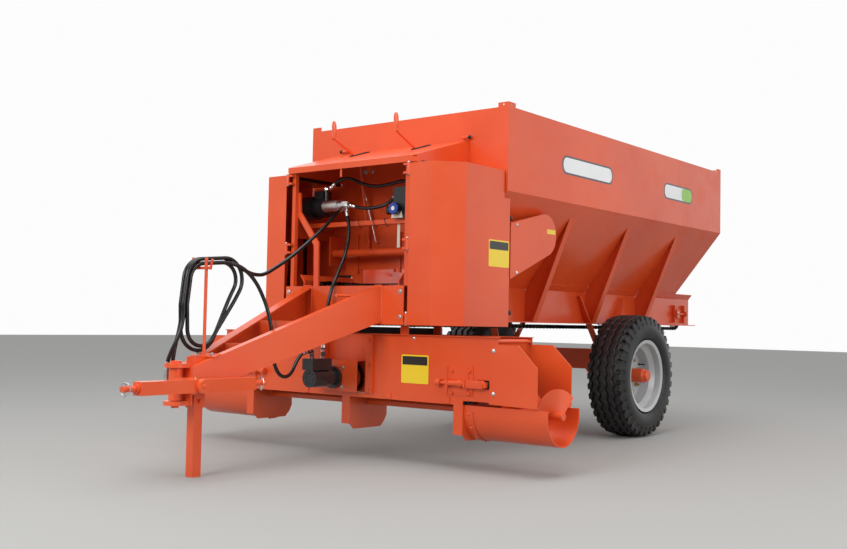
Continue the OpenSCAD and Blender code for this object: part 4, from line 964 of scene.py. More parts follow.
def belt_places(upper, lower, y):
    """Places about a pitch apart on a chain round two wheels, each (x, z, radius)."""
    top = Vector(upper[:2])
    foot = Vector(lower[:2])
    span = top - foot
    lean = math.asin((lower[2] - upper[2]) / span.length)
    heading = math.atan2(span.y, span.x)
    front = heading - math.pi / 2 + lean
    rear = heading + math.pi / 2 - lean

    def bend(centre, radius, start, end):
        steps = max(2, round(radius * abs(end - start) / ROLLER_PITCH))
        return [(centre, radius, start + (end - start) * (k + 0.5) / steps) for k in range(steps)]

    def strand(start, end, angle):
        a = start[0] + start[1] * Vector((math.cos(angle), math.sin(angle)))
        b = end[0] + end[1] * Vector((math.cos(angle), math.sin(angle)))
        steps = round((b - a).length / ROLLER_PITCH)
        return [(a + (b - a) * (k + 0.5) / steps, 0.0, angle) for k in range(steps)]

    rows = bend(top, upper[2], front, rear)
    rows += strand((top, upper[2]), (foot, lower[2]), rear)
    rows += bend(foot, lower[2], rear, front + 2 * math.pi)
    rows += strand((foot, lower[2]), (top, upper[2]), front)
    places = []
    for centre, radius, angle in rows:
        outward = Vector((math.cos(angle), 0, math.sin(angle)))
        forward = Vector((-math.sin(angle), 0, math.cos(angle)))
        places.append((at(centre.x + radius * outward.x, y, centre.y + radius * outward.z), outward, forward))
    return places


def make_drive_chains():
    link = chain_link_mesh(ROLLER_PITCH, DRIVE_LINK, DRIVE_LINK)
    set_repeats("drive_chain_links", link, belt_places(MOTOR_WHEEL, SHAFT_WHEEL, DRIVE_CHAIN_Y), CHAIN_STEEL)
    places = []
    for k in range(CASE_LINKS):
        angle = math.radians(-CASE_REACH + 2 * CASE_REACH * k / (CASE_LINKS - 1))
        outward = Vector((0, math.cos(angle), math.sin(angle)))
        forward = Vector((0, -math.sin(angle), math.cos(angle)))
        places.append((at(*CASE_MIDDLE) + CASE_RADIUS * outward, outward, forward))
    set_repeats("case_chain_links", chain_link_mesh(*CASE_LINK), places, CHAIN_STEEL)


make_drive_chains()


# Fasteners

# Faces that bolts sit on: x of those across the machine, y of the last two
WALL_FACE = 0.0
CHUTE_REAR = 0.1257
BOX_FACE = 0.450
CHUTE_FACE = 0.454
STRIP_FACE = 0.4542
TENSIONER_FACE = 0.455
CASE_FACE = 0.473
CROSS_FACE = 0.505
MOTOR_END = 0.671
BEARING_FACE = 0.690
GUARD_FACE = 0.720

# Bolts on front faces, as y and z
CHUTE_BOLTS = [(0.983, 0.643), (0.985, 0.430)]
TENSIONER_BOLTS = [(0.731, 0.535), (0.842, 0.537), (0.731, 0.422), (0.842, 0.424)]
BOX_TOP_BOLTS = [(0.474, 0.695)]
STRIP_BOLTS = [(0.165, 0.679), (0.165, 0.543), (0.165, 0.405)]
MOTOR_FLANGE_BOLTS = [(-0.150, 0.415), (-0.150, 0.520), (-0.010, 0.415), (-0.010, 0.520)]
MOTOR_END_BOLTS = [
    (-0.105, 0.463), (-0.045, 0.463), (-0.075, 0.493), (-0.075, 0.433),
    (-0.096, 0.484), (-0.054, 0.442), (-0.096, 0.442), (-0.054, 0.484)]
CROSSBEAM_BOLTS = [(0.418, 0.806), (0.418, 0.940)]
WALL_NUTS = [(-0.292, 1.688), (-0.238, 1.688)]

# Bolts on side faces, as x and z
GUARD_BOLTS = [(-0.150, 1.335), (-0.150, 1.065)]
BEARING_BOLTS = [(-0.480, 1.236), (-0.380, 1.236), (-0.480, 1.344), (-0.380, 1.344)]

# Door hinges: their axis, their heights, and from a hinge's middle to its ends
HINGE_X = 0.499
HINGE_Y = 0.454
HINGE_HEIGHTS = (0.796, 1.191, 1.593)
HINGE_HALF = 0.031

# Bands round the troughs, with a row of bolts on each
BAND_INNER = 0.1532
BAND_RADIUS = 0.1572
BAND_EDGES = ((0.7975, 0.852), (-0.812, -0.7575))
BAND_STEPS = 36
BAND_BOLT_Y = (0.826, -0.786)
BAND_BOLT_ANGLES = (-4, -32, -58, -90, -122, -148, -176)


def on_front(x, spots):
    return [(at(x, y, z), X_AXIS, Y_AXIS) for y, z in spots]


def both_sides(spots):
    return [(side * y, z) for side in (-1, 1) for y, z in spots]


def make_fasteners():
    chute = both_sides(CHUTE_BOLTS)
    chute_rear = [(at(CHUTE_REAR, y, z), -X_AXIS, Y_AXIS) for y, z in chute]
    hinges = []
    bearings = []
    for side in (-1, 1):
        for z in HINGE_HEIGHTS:
            for end in (1, -1):
                hinges.append((at(HINGE_X, side * HINGE_Y, z + end * HINGE_HALF), end * Z_AXIS, X_AXIS))
        for x, z in BEARING_BOLTS:
            bearings.append((at(x, side * BEARING_FACE, z), side * Y_AXIS, X_AXIS))
    bands = []
    for y in BAND_BOLT_Y:
        for degrees in BAND_BOLT_ANGLES:
            angle = math.radians(degrees)
            outward = Vector((math.cos(angle), 0, math.sin(angle)))
            bands.append((about_screw(BAND_RADIUS, angle, y), outward, Y_AXIS))
    guard = [(at(x, GUARD_FACE, z), Y_AXIS, X_AXIS) for x, z in GUARD_BOLTS]
    tensioner = on_front(TENSIONER_FACE, both_sides(TENSIONER_BOLTS))
    box_top = on_front(BOX_FACE, both_sides(BOX_TOP_BOLTS))
    crossbeam = on_front(CROSS_FACE, both_sides(CROSSBEAM_BOLTS))
    strip = on_front(STRIP_FACE, STRIP_BOLTS)

    # Domed heads by radius and height, hexagons by radius, height and washer
    rows = [
        ("chute_bolts", (0.0115, 0.007), on_front(CHUTE_FACE, chute), ZINC, None),
        ("rear_chute_bolts", (0.0115, 0.007), chute_rear, ZINC, None),
        ("tensioner_plate_bolts", (0.0095, 0.010, 0.0125), tensioner, ORANGE_PAINT, "paint"),
        ("box_top_bolts", (0.010, 0.008), box_top, ZINC, None),
        ("bay_strip_bolts", (0.0085, 0.007, 0.0115), strip, ORANGE_PAINT, "paint"),
        ("motor_flange_bolts", (0.0085, 0.009, 0.011), on_front(CASE_FACE, MOTOR_FLANGE_BOLTS), ZINC, None),
        ("motor_end_bolts", (0.0058, 0.005), on_front(MOTOR_END, MOTOR_END_BOLTS), BLACK_PAINT, "black"),
        ("hinge_pin_heads", (0.0085, 0.007), hinges, BRIGHT_STEEL, None),
        ("trough_band_bolts", (0.0085, 0.006), bands, ORANGE_PAINT, "paint"),
        ("guard_bolts", (0.010, 0.006), guard, ZINC, None),
        ("crossbeam_bolts", (0.0085, 0.009, 0.012), crossbeam, ZINC, None),
        ("bearing_bolts", (0.010, 0.011, 0.014), bearings, ZINC, None),
        ("wall_nuts", (0.010, 0.010, 0.014), on_front(WALL_FACE, WALL_NUTS), ZINC, None)]
    for name, head, places, finish, slot in rows:
        part = hex_bolt_mesh(*head) if len(head) == 3 else dome_bolt_mesh(*head)
        set_repeats(name, part, places, finish)


make_fasteners()


# Sheet details on the box and the troughs

# Chamfer on cut sheet
SHEET_EDGE = 0.0008
STRIP_Y = (0.139, 0.196)
STRIP_Z = (0.388, 0.702)
STRIP_SHEET = 0.004
STRIP_FOLD = 0.014
STRIP_TUCK = 0.001


def make_bay_strip():
    """Bent strip along the left edge of the drive bay, laid on the box plate."""
    right, left = STRIP_Y
    foot, top = STRIP_Z
    with new_piece("bay_strip", ORANGE_PAINT, slot="paint") as bm:
        add_block(bm, at(STRIP_FACE - STRIP_SHEET, right, foot), at(STRIP_FACE, left, top), SHEET_EDGE)
        add_block(bm, at(STRIP_FACE - STRIP_TUCK, left - STRIP_SHEET, foot),
                  at(STRIP_FACE + STRIP_FOLD, left, top), SHEET_EDGE)


make_bay_strip()


def make_trough_bands():
    with new_piece("trough_bands", ORANGE_PAINT, slot="paint", smooth=35) as bm:
        for low, high in BAND_EDGES:
            corners = ((BAND_INNER, low), (BAND_RADIUS, low), (BAND_RADIUS, high), (BAND_INNER, high))
            rows = []
            for k in range(BAND_STEPS + 1):
                angle = math.radians(-180 * k / BAND_STEPS)
                rows.append([bm.verts.new(about_screw(radius, angle, y)) for radius, y in corners])
            join_rings(bm, rows)


make_trough_bands()


# Clips at the box's foot, and the strips that guide the tensioner plates
CLIP_Y = (0.307, 0.700)
CLIP_HALF = 0.017
CLIP_Z = (0.366, 0.398)
CLIP_GAP = 0.0002
CLIP_OUT = 0.006
CLIP_EDGE = 0.001
GUIDE_Y = (0.716, 0.846)
GUIDE_SPAN = (-0.0150, -0.0115)
GUIDE_Z = (0.412, 0.557)
GUIDE_OUT = 0.004


def make_box_clips():
    with new_piece("box_clips", ORANGE_PAINT, slot="paint") as bm:
        for side in (-1, 1):
            for y in CLIP_Y:
                add_block(bm, at(BOX_FACE + CLIP_GAP, side * y - CLIP_HALF, CLIP_Z[0]),
                          at(BOX_FACE + CLIP_OUT, side * y + CLIP_HALF, CLIP_Z[1]), CLIP_EDGE)
            for y in GUIDE_Y:
                add_block(bm, at(TENSIONER_FACE, side * y + GUIDE_SPAN[0], GUIDE_Z[0]),
                          at(TENSIONER_FACE + GUIDE_OUT, side * y + GUIDE_SPAN[1], GUIDE_Z[1]))


make_box_clips()


ROLLER_Y = 0.927
ROLLER_Z = 0.472
SCREW_FACE = BOX_FACE + 0.020
# Turned parts on a tensioner's screw: start, length, radius and number of sides
TENSIONER_PARTS = [
    (0.6402, 0.028, 0.0185, 20), (0.7000, 0.0118, 0.0165, 6), (0.7222, 0.0976, 0.0145, 20),
    (0.7820, 0.024, 0.0190, 20)]
TENSIONER_EDGE = 0.0015
# The fork from the screw to the roller's end, and the eye on that end
FORK_START = 0.832
FORK_REAR = 0.0100
FORK_FRONT = 0.0102
FORK_HALF = 0.0205
FORK_EDGE = 0.0020
EYE_REAR = 0.0101
EYE = [(0, 0), (0.0195, 0), (0.0207, 0.0012), (0.0207, 0.0194), (0.0195, 0.0206), (0, 0.0206)]


def make_tensioner_bodies():
    """Sleeve, nut, eye and fork on each belt tensioner's screw, between and beside its lugs."""
    with new_piece("tensioner_bodies", ORANGE_PAINT, slot="paint", smooth=40) as bm:
        for side in (-1, 1):
            for start, length, radius, segments in TENSIONER_PARTS:
                inner = radius - TENSIONER_EDGE
                profile = [(0, 0), (inner, 0), (radius, TENSIONER_EDGE), (radius, length - TENSIONER_EDGE),
                           (inner, length), (0, length)]
                add_turned(bm, profile, at(SCREW_FACE, side * start, ROLLER_Z), side * Y_AXIS, segments)
            ends = sorted((side * FORK_START, side * ROLLER_Y))
            add_block(bm, at(SCREW_FACE - FORK_REAR, ends[0], ROLLER_Z - FORK_HALF),
                      at(SCREW_FACE + FORK_FRONT, ends[1], ROLLER_Z + FORK_HALF), FORK_EDGE)
            add_turned(bm, EYE, at(SCREW_FACE - EYE_REAR, side * ROLLER_Y, ROLLER_Z), X_AXIS, 24)


make_tensioner_bodies()


# Link pins' linchpins with their spring rings

LINK_Y = 0.160
LINK_Z = 0.470
# Each linchpin's x, and the way its ring leans
LINCHPINS = ((1.238, 1), (2.020, -1))
LINCHPIN = [(0, 0), (0.0045, 0.001), (0.0045, 0.056), (0.0085, 0.0565), (0.0085, 0.064), (0, 0.066)]
LINCHPIN_DROP = 0.036
SPRING_RING = 0.0275
SPRING_WIRE = 0.0019


def add_ring(bm, middle, across, upward, radius, wire, steps=28):
    points = [middle + u * across + v * upward for u, v in circle(radius, steps)]
    add_tube(bm, points, wire, 8, closed=True)


def make_linchpins():
    with new_piece("linchpins", BRIGHT_STEEL, "hitch", "steel", 40) as bm:
        for x, lean in LINCHPINS:
            add_turned(bm, LINCHPIN, at(x, LINK_Y, LINK_Z - LINCHPIN_DROP), Z_AXIS, 14)
            across = Vector((0.30 * lean, 0.95, 0)).normalized()
            add_ring(bm, at(x, LINK_Y, LINK_Z), across, Z_AXIS, SPRING_RING, SPRING_WIRE)


make_linchpins()


# Door latches: rubber pulls on the doors' inner faces

LATCH_HEIGHTS = (1.376, 0.852)
# A pull's stem from the door to its ball, with z from the latch's height
LATCH_STEM = [(-0.018, 0.7285, 0), (-0.040, 0.727, 0), (-0.062, 0.724, -0.004), (-0.074, 0.722, -0.012)]
LATCH_WIRE = 0.0042
LATCH_BALL = [
    (0, -0.015), (0.007, -0.013), (0.0115, -0.006), (0.0125, 0.0), (0.0115, 0.006), (0.007, 0.013),
    (0, 0.015)]
LATCH_LEAN = Vector((0.3, 0, 1))
LATCH_FOOT = [(0, 0), (0.013, 0), (0.013, 0.006), (0.009, 0.009), (0, 0.009)]
LATCH_FOOT_PLACE = (-0.018, 0.733)


def make_latches():
    for side, name in ((1, "left"), (-1, "right")):
        with new_piece("door_latches_" + name, LATCH_RUBBER, name + "_door", smooth=40) as bm:
            for height in LATCH_HEIGHTS:
                stem = [at(x, side * y, height + z) for x, y, z in LATCH_STEM]
                add_tube(bm, smooth_line(stem, 4), LATCH_WIRE, 10)
                add_turned(bm, LATCH_BALL, stem[-1], LATCH_LEAN, 18)
                x, y = LATCH_FOOT_PLACE
                add_turned(bm, LATCH_FOOT, at(x, side * y, height), -side * Y_AXIS, 18)


make_latches()


# Levers, roof catches and the seals of the lever slots

LEVER_Y = 0.235
# A grip's ends as x and z, and its sections as share of the length, half width and half thickness
GRIP_BASE = (0.3462, 1.852)
GRIP_TIP = (0.3518, 1.940)
GRIP_SECTIONS = [
    (0.0, 0.0100, 0.0098), (0.10, 0.0135, 0.0102), (0.40, 0.0165, 0.0106), (0.70, 0.0160, 0.0106),
    (0.88, 0.0120, 0.0100), (0.97, 0.0060, 0.0060)]
GRIP_SIDES = 20
LEVER_PIN = (0.345, LEVER_Y + 0.007, 1.838)


def make_grips():
    with new_piece("lever_grips", ORANGE_PAINT, slot="paint", smooth=50) as bm:
        for side in (-1, 1):
            base, tip = [at(x, side * LEVER_Y, z) for x, z in (GRIP_BASE, GRIP_TIP)]
            turn = frame_towards(tip - base, X_AXIS).to_3x3()
            rings = []
            for share, wide, thin in GRIP_SECTIONS:
                centre = base + (tip - base) * share
                spots = [Vector((thin * u, wide * v, 0)) for u, v in circle(1.0, GRIP_SIDES)]
                rings.append([bm.verts.new(centre + turn @ spot) for spot in spots])
            join_rings(bm, rings)
    x, y, z = LEVER_PIN
    pins = [(at(x, side * y, z), side * Y_AXIS, X_AXIS) for side in (-1, 1)]
    set_repeats("lever_pins", hex_bolt_mesh(0.008, 0.007, 0.010), pins, ORANGE_PAINT)


# Each catch's y and the way it faces; its rod; its plate and lug as x range, z range and half width
ROOF_CATCHES = ((0.470, 1), (-0.450, -1))
CATCH_ROD_X = 0.020
CATCH_ROD_Z = 1.8265
CATCH_ROD_RADIUS = 0.0065
CATCH_ROD_LENGTH = 0.052
CATCH_ROD_START = -0.022
CATCH_PLATE = ((0.006, 0.010), (1.8115, 1.842), 0.020)
CATCH_LUG = ((0.0102, 0.016), (1.820, 1.833), 0.012)
CATCH_CAP = [(0, 0), (0.0105, 0), (0.0105, 0.010), (0.0065, 0.014), (0, 0.014)]
CATCH_CAP_OUT = 0.026
CATCH_EDGE = 0.001


def make_roof_catches():
    with new_piece("roof_catches", ORANGE_PAINT, slot="paint", smooth=35) as bm:
        for y, _ in ROOF_CATCHES:
            for (rear, front), (foot, top), half in (CATCH_PLATE, CATCH_LUG):
                add_block(bm, at(rear, y - half, foot), at(front, y + half, top), CATCH_EDGE)
            add_rod(bm, at(CATCH_ROD_X, y + CATCH_ROD_START, CATCH_ROD_Z), Y_AXIS, CATCH_ROD_RADIUS,
                    CATCH_ROD_LENGTH, 14)
    with new_piece("roof_catch_caps", LATCH_RUBBER, smooth=35) as bm:
        for y, outward in ROOF_CATCHES:
            add_turned(bm, CATCH_CAP, at(CATCH_ROD_X, y + outward * CATCH_CAP_OUT, CATCH_ROD_Z),
                       outward * Y_AXIS, 16)
    with new_piece("roof_hanger", ORANGE_PAINT, slot="paint") as bm:
        add_block(bm, at(0.480, -0.056, 1.584), at(0.4835, -0.042, 1.657), SHEET_EDGE)


# The roof's height at the rear, and how much it falls for each metre forward
ROOF_REAR = 1.813
ROOF_DROP = 0.150 / 0.491
SLOT_HALF = 0.0105
SLOT_ENDS = (0.046, 0.199)
GASKET_LIFT = 0.003
GASKET_RADIUS = 0.0034


def make_slot_gaskets():
    """Rubber lips along both edges of each lever slot in the sloping roof."""
    with new_piece("slot_gaskets", LATCH_RUBBER, smooth=50) as bm:
        for side in (-1, 1):
            for edge in (-SLOT_HALF, SLOT_HALF):
                y = side * LEVER_Y + edge
                ends = [at(x, y, ROOF_REAR - ROOF_DROP * x + GASKET_LIFT) for x in SLOT_ENDS]
                add_tube(bm, ends, GASKET_RADIUS, 8)


make_grips()
make_roof_catches()
make_slot_gaskets()


# Blank plates

def rounded_outline(width, height, radius, steps=8):
    outline = []
    for cx, cy, start in ((1, 1, 0), (-1, 1, 90), (-1, -1, 180), (1, -1, 270)):
        for k in range(steps + 1):
            angle = math.radians(start + 90 * k / steps)
            outline.append((cx * (width / 2 - radius) + radius * math.cos(angle),
                            cy * (height / 2 - radius) + radius * math.sin(angle)))
    return outline


# From one layer to the next, from the sheet to the first layer, and between two layers
PLATE_STEP = 0.0006
PLATE_LIFT = 0.0002
PLATE_GAP = 0.0001
# Margin round a notice's head, and the head's share of the height
NOTICE_MARGIN = 0.008
NOTICE_HEAD = 0.30
SIDE_FACE = 0.750


def make_plate(name, middle, facing, side, size, radius, finish, body="chassis", layer=0):
    """A thin blank plate; each layer lies on the one before."""
    with new_piece(name, finish, body) as bm:
        base = middle + (PLATE_LIFT + layer * PLATE_STEP) * facing
        add_prism(bm, rounded_outline(*size, radius), base, facing, side, PLATE_STEP - PLATE_GAP)


def make_notice(name, middle, facing, side, size, body="chassis"):
    """Yellow plate with a dark head, both blank."""
    make_plate(name, middle, facing, side, size, NOTICE_MARGIN, YELLOW_PLATE, body)
    width, height = size
    head = height * NOTICE_HEAD
    lift = Vector((0, 0, height / 2 - head / 2 - NOTICE_MARGIN))
    head_size = (width - 2 * NOTICE_MARGIN, head)
    make_plate(name + "_head", middle + lift, facing, side, head_size, NOTICE_MARGIN / 2, BLACK_PLATE, body,
               layer=1)


# Blank signs on the left side: x, z, size, corner radius, finish and layer
SIDE_SIGNS = [
    ("long_sign_edge", -0.897, 1.735, (0.632, 0.112), 0.050, SLATE_PLATE, 0),
    ("long_sign", -0.897, 1.735, (0.604, 0.090), 0.040, WHITE_PLATE, 1),
    ("short_sign_edge", -2.209, 1.734, (0.476, 0.112), 0.046, SLATE_PLATE, 0),
    ("short_sign", -2.209, 1.734, (0.452, 0.092), 0.038, WHITE_PLATE, 1),
    ("short_sign_green", -2.348, 1.734, (0.174, 0.092), 0.038, GREEN_PLATE, 2)]
CROSS_PLATE_Z = 0.860
CROSS_RIVET_Y = (0.333, 0.409)


def make_plates():
    make_notice("door_notice", at(0.055, 0.737, 1.159), Y_AXIS, -X_AXIS, (0.196, 0.146), "left_door")
    make_notice("box_notice", at(BOX_FACE, 0.4825, 0.531), X_AXIS, Y_AXIS, (0.183, 0.150))
    guard_sign = at(-0.515, GUARD_FACE, 1.323)
    make_plate("guard_sign", guard_sign, Y_AXIS, -X_AXIS, (0.092, 0.026), 0.002, YELLOW_PLATE)
    for name, x, z, size, radius, finish, layer in SIDE_SIGNS:
        make_plate(name, at(x, SIDE_FACE, z), Y_AXIS, -X_AXIS, size, radius, finish, layer=layer)
    middle = at(CROSS_FACE, sum(CROSS_RIVET_Y) / 2, CROSS_PLATE_Z)
    make_plate("crossbeam_plate", middle, X_AXIS, Y_AXIS, (0.094, 0.062), 0.002, ORANGE_PAINT)
    plate_face = CROSS_FACE + PLATE_LIFT + PLATE_STEP - PLATE_GAP
    rivets = on_front(plate_face, [(y, CROSS_PLATE_Z) for y in CROSS_RIVET_Y])
    set_repeats("crossbeam_plate_rivets", dome_bolt_mesh(0.0042, 0.003), rivets, ORANGE_PAINT)


make_plates()


# Fittings inside the compartment and on the belt motor

# Hexagons of the hose ends: foot, direction, radius and height
HOSE_HEXAGONS = [
    ((0.565, -0.075, 0.5692), Z_AXIS, 0.0165, 0.012),
    ((0.565, -0.075, 0.605), Z_AXIS, 0.0150, 0.014),
    ((0.655, -0.075, 0.5692), Z_AXIS, 0.0165, 0.012),
    ((0.655, -0.075, 0.591), Z_AXIS, 0.0150, 0.014),
    ((0.672, -0.075, 0.608), X_AXIS, 0.0150, 0.013),
    ((0.3405, -0.150, 1.436), X_AXIS, 0.0155, 0.010),
    ((0.318, -0.1525, 1.4248), -Z_AXIS, 0.0150, 0.014),
    ((0.318, -0.1300, 1.4460), Y_AXIS, 0.0150, 0.012),
    ((0.282, -0.348, 1.5500), Z_AXIS, 0.0150, 0.012),
    ((0.248, 0.1700, 1.4950), Y_AXIS, 0.0150, 0.0148),
    ((0.240, 0.256, 1.5302), Z_AXIS, 0.0160, 0.012)]
ELBOW = [
    (0.282, -0.348, 1.5560), (0.282, -0.3475, 1.5640), (0.2815, -0.338, 1.5660), (0.2810, -0.318, 1.5615)]
ELBOW_RADIUS = 0.0100
# Raised rings on the filter and fins on the motor: axis, places along it and section
FILTER_AXIS = (0.318, 1.448)
FILTER_RING_Y = (-0.3235, -0.2140)
FILTER_RING = [(0.0322, 0), (0.0335, 0.001), (0.0335, 0.006), (0.0322, 0.007)]
MOTOR_AXIS = (0.260, 1.450)
FIN_START = -0.425
FIN_PITCH = 0.017
FIN_COUNT = 4
MOTOR_FIN = [(0.0562, 0), (0.0595, 0.001), (0.0595, 0.007), (0.0562, 0.008)]


def make_fittings():
    with new_piece("hose_fittings", BRIGHT_STEEL, slot="steel", smooth=30) as bm:
        for foot, direction, radius, height in HOSE_HEXAGONS:
            add_rod(bm, at(*foot), direction, radius, height, 6)
        add_tube(bm, smooth_line([at(*point) for point in ELBOW], 5), ELBOW_RADIUS, 14)
    with new_piece("filter_rings", BRIGHT_STEEL, slot="steel", smooth=30) as bm:
        for y in FILTER_RING_Y:
            add_turned(bm, FILTER_RING, at(FILTER_AXIS[0], y, FILTER_AXIS[1]), Y_AXIS, 32)
    with new_piece("motor_fins", BLACK_PAINT, slot="black", smooth=30) as bm:
        for k in range(FIN_COUNT):
            y = FIN_START + FIN_PITCH * k
            add_turned(bm, MOTOR_FIN, at(MOTOR_AXIS[0], y, MOTOR_AXIS[1]), Y_AXIS, 36)


DIAL_Y = 0.215
DIAL_Z = 1.408
DIAL_REAR = 0.3302
DIAL = [(0, 0), (0.0335, 0), (0.0335, 0.004), (0.031, 0.007), (0.018, 0.0085), (0, 0.0085)]
MARK_REAR = 0.3388
MARK_RADIUS = 0.012
MARK_THICK = 0.0012
BRACKET_FLAP = [(-0.042, -0.026), (0.042, -0.026), (0.030, 0.020), (-0.030, 0.020)]


def make_valve_dial():
    with new_piece("valve_dial", BLUE_KNOB, smooth=40) as bm:
        add_turned(bm, DIAL, at(DIAL_REAR, DIAL_Y, DIAL_Z), X_AXIS, 36)
    with new_piece("valve_dial_mark", WHITE_PLATE, smooth=40) as bm:
        add_rod(bm, at(MARK_REAR, DIAL_Y, DIAL_Z), X_AXIS, MARK_RADIUS, MARK_THICK, 28)
    with new_piece("valve_bracket", CREAM_PAINT) as bm:
        add_prism(bm, BRACKET_FLAP, at(0.3002, DIAL_Y, 1.3835), X_AXIS, Y_AXIS, 0.003)
        add_block(bm, at(0.2462, 0.176, 1.195), at(0.2500, 0.196, 1.3298), SHEET_EDGE)


# A wire hook's line, with y from the hook's own place
HOOK_Y = (-0.092, 0.024, 0.109)
HOOK_LINE = [
    (0.258, -0.012, 1.3585), (0.2735, -0.012, 1.3585), (0.2750, -0.008, 1.345),
    (0.2760, 0.006, 1.326), (0.2800, 0.022, 1.314), (0.2840, 0.034, 1.322)]
HOOK_WIRE = 0.0022
# Straight parts of the rod on the gate: both ends and radius
GATE_ROD = [
    ((0.040, -0.304, 1.690), (0.040, -0.163, 1.253), 0.0045),
    ((0.0245, -0.3045, 1.6905), (0.0405, -0.3035, 1.6895), 0.0045),
    ((0.006, -0.3045, 1.6905), (0.0250, -0.3045, 1.6905), 0.0065),
    ((0.0082, -0.163, 1.2535), (0.0405, -0.163, 1.2535), 0.0050)]


def make_wire_hooks():
    with new_piece("wire_hooks", BLACK_PAINT, smooth=40) as bm:
        for y in HOOK_Y:
            add_tube(bm, smooth_line([at(x, y + off, z) for x, off, z in HOOK_LINE], 6), HOOK_WIRE, 8)
    with new_piece("gate_rod", ZINC, slot="steel", smooth=40) as bm:
        for start, end, radius in GATE_ROD:
            add_tube(bm, [at(*start), at(*end)], radius, 10)


make_fittings()
make_valve_dial()
make_wire_hooks()


# Rubber strips

def add_block_pair(bm, low, high):
    """A block and its mirror image on the other side of the middle."""
    for side in (-1, 1):
        ends = sorted((side * low[1], side * high[1]))
        add_block(bm, at(low[0], ends[0], low[2]), at(high[0], ends[1], high[2]), SHEET_EDGE)


def make_apron():
    """Rubber strip on the rear hangers that keeps the load on its way down to the cross belt."""
    with new_piece("drop_apron", BELT_RUBBER, slot="belt_rubber") as bm:
        add_block(bm, at(0.1255, -0.415, 0.7060), at(0.1298, 0.415, 0.7460), SHEET_EDGE)


def make_seals():
    """Rubber lips from the roof's sides to the tops of the doors, and short ones on the front wall."""
    with new_piece("roof_seals", LATCH_RUBBER) as bm:
        add_block_pair(bm, (0.010, 0.4873, 1.6080), (0.432, 0.4920, 1.6400))
    with new_piece("wing_seals", LATCH_RUBBER) as bm:
        add_block_pair(bm, (0.0002, 0.392, 1.0260), (0.0042, 0.500, 1.0580))


make_apron()
make_seals()


# Small fixings on the drawbar and the link bar

# The left beam from the crossbeam to the nose: its start, its change along, across and down,
# and at the start its top, its outer face and its width
BEAM_START = 0.505
BEAM_RUN = 1.073
BEAM_TAPER = 0.230
BEAM_FALL = 0.421
BEAM_TOP = 0.971
BEAM_OUTER = 0.290
BEAM_WIDTH = 0.0565


def beam_inner(x):
    """Inner face of the left drawbar beam."""
    return BEAM_OUTER - BEAM_TAPER * (x - BEAM_START) / BEAM_RUN - BEAM_WIDTH


PEG_START = 0.611
PEG_END = 0.721
PEG_Z = 0.912
PEG_RADIUS = 0.008
STAND_X = 1.455
STAND_BOLT_Y = (-0.052, 0.052)
STAND_PLATE = 0.0063
SPIGOT_CAP = [
    (0, 0), (0.0338, 0), (0.0338, 0.002), (0.0305, 0.0050), (0.0090, 0.0050), (0.0090, 0.0065),
    (0.0070, 0.0100), (0, 0.0105)]


def make_drawbar_details():
    with new_piece("beam_peg", ORANGE_PAINT, slot="paint", smooth=40) as bm:
        near = beam_inner(PEG_START)
        far = beam_inner(PEG_END)
        line = [
            (PEG_START, near + 0.002), (PEG_START + 0.004, near - 0.020), (PEG_START + 0.020, near - 0.030),
            (PEG_END - 0.016, far - 0.030), (PEG_END, far - 0.028)]
        add_tube(bm, smooth_line([at(x, y, PEG_Z) for x, y in line], 6), PEG_RADIUS, 12)
    slope = math.atan2(BEAM_FALL, BEAM_RUN)
    normal = Vector((math.sin(slope), 0, math.cos(slope)))
    top = BEAM_TOP - BEAM_FALL * (STAND_X - BEAM_START) / BEAM_RUN
    stand = [(at(STAND_X, y, top) + STAND_PLATE * normal, normal, Y_AXIS) for y in STAND_BOLT_Y]
    set_repeats("stand_bolts", hex_bolt_mesh(0.0095, 0.010, 0.0125), stand, ZINC)
    with new_piece("spigot_cap", ORANGE_PAINT, "hitch", "paint", 30) as bm:
        add_turned(bm, SPIGOT_CAP, at(1.628, 0.2043, LINK_Z), Y_AXIS, 40)
    nipples = [(at(1.643, LINK_Y, 0.500), Z_AXIS, X_AXIS)]
    set_repeats("bar_nipple", dome_bolt_mesh(0.0045, 0.011), nipples, GOLD_ZINC, "hitch")


make_drawbar_details()


# Weld beads

BEAD_STEP = 0.0035
BEAD_SIDES = 8
BEAD_END = 0.55


def add_bead(bm, start, end, radius, seed):
    """A lumpy bead along a seam, thin at both ends."""
    steps = max(6, int((end - start).length / BEAD_STEP))
    onward = (end - start) / steps
    turn = frame_towards(end - start).to_3x3()
    rings = []
    for i in range(steps + 1):
        ripple = 1 + 0.14 * math.sin(i * 1.9 + seed) + 0.08 * math.sin(i * 0.7 + 2 * seed)
        if i in (0, steps):
            ripple *= BEAD_END
        spots = [Vector((u, v, 0)) for u, v in circle(radius * ripple, BEAD_SIDES)]
        rings.append([bm.verts.new(start + onward * i + turn @ spot) for spot in spots])
    join_rings(bm, rings)


# The hopper's sloping side: its foot, and its change outwards and up
SLOPE_FOOT_Y = 0.359
SLOPE_FOOT_Z = 1.009
SLOPE_OUT = 0.391
SLOPE_RISE = 0.501


def slope_y(z):
    """Half width of the hopper's sloping side at this height."""
    return SLOPE_FOOT_Y + (z - SLOPE_FOOT_Z) * SLOPE_OUT / SLOPE_RISE


# Seams of the beams on the crossbeam: their x, the sides' y and z, and the top's height and y
BEAM_SEAM_X = 0.5055
BEAM_SEAM_Y = (0.2905, 0.2335)
BEAM_SEAM_Z = (0.779, 0.968)
BEAM_SEAM_TOP = 0.9715
BEAM_SEAM_ENDS = (0.236, 0.288)
BEAM_BEAD = 0.0045
TOP_BEAD = 0.004
# Stitches along the hopper's lower lip
LIP_Z = 1.0400
LIP_OUT = 0.0035
LIP_STITCHES = 11
LIP_START = -0.14
LIP_PITCH = 0.262
LIP_STITCH = 0.045
LIP_BEAD = 0.0035
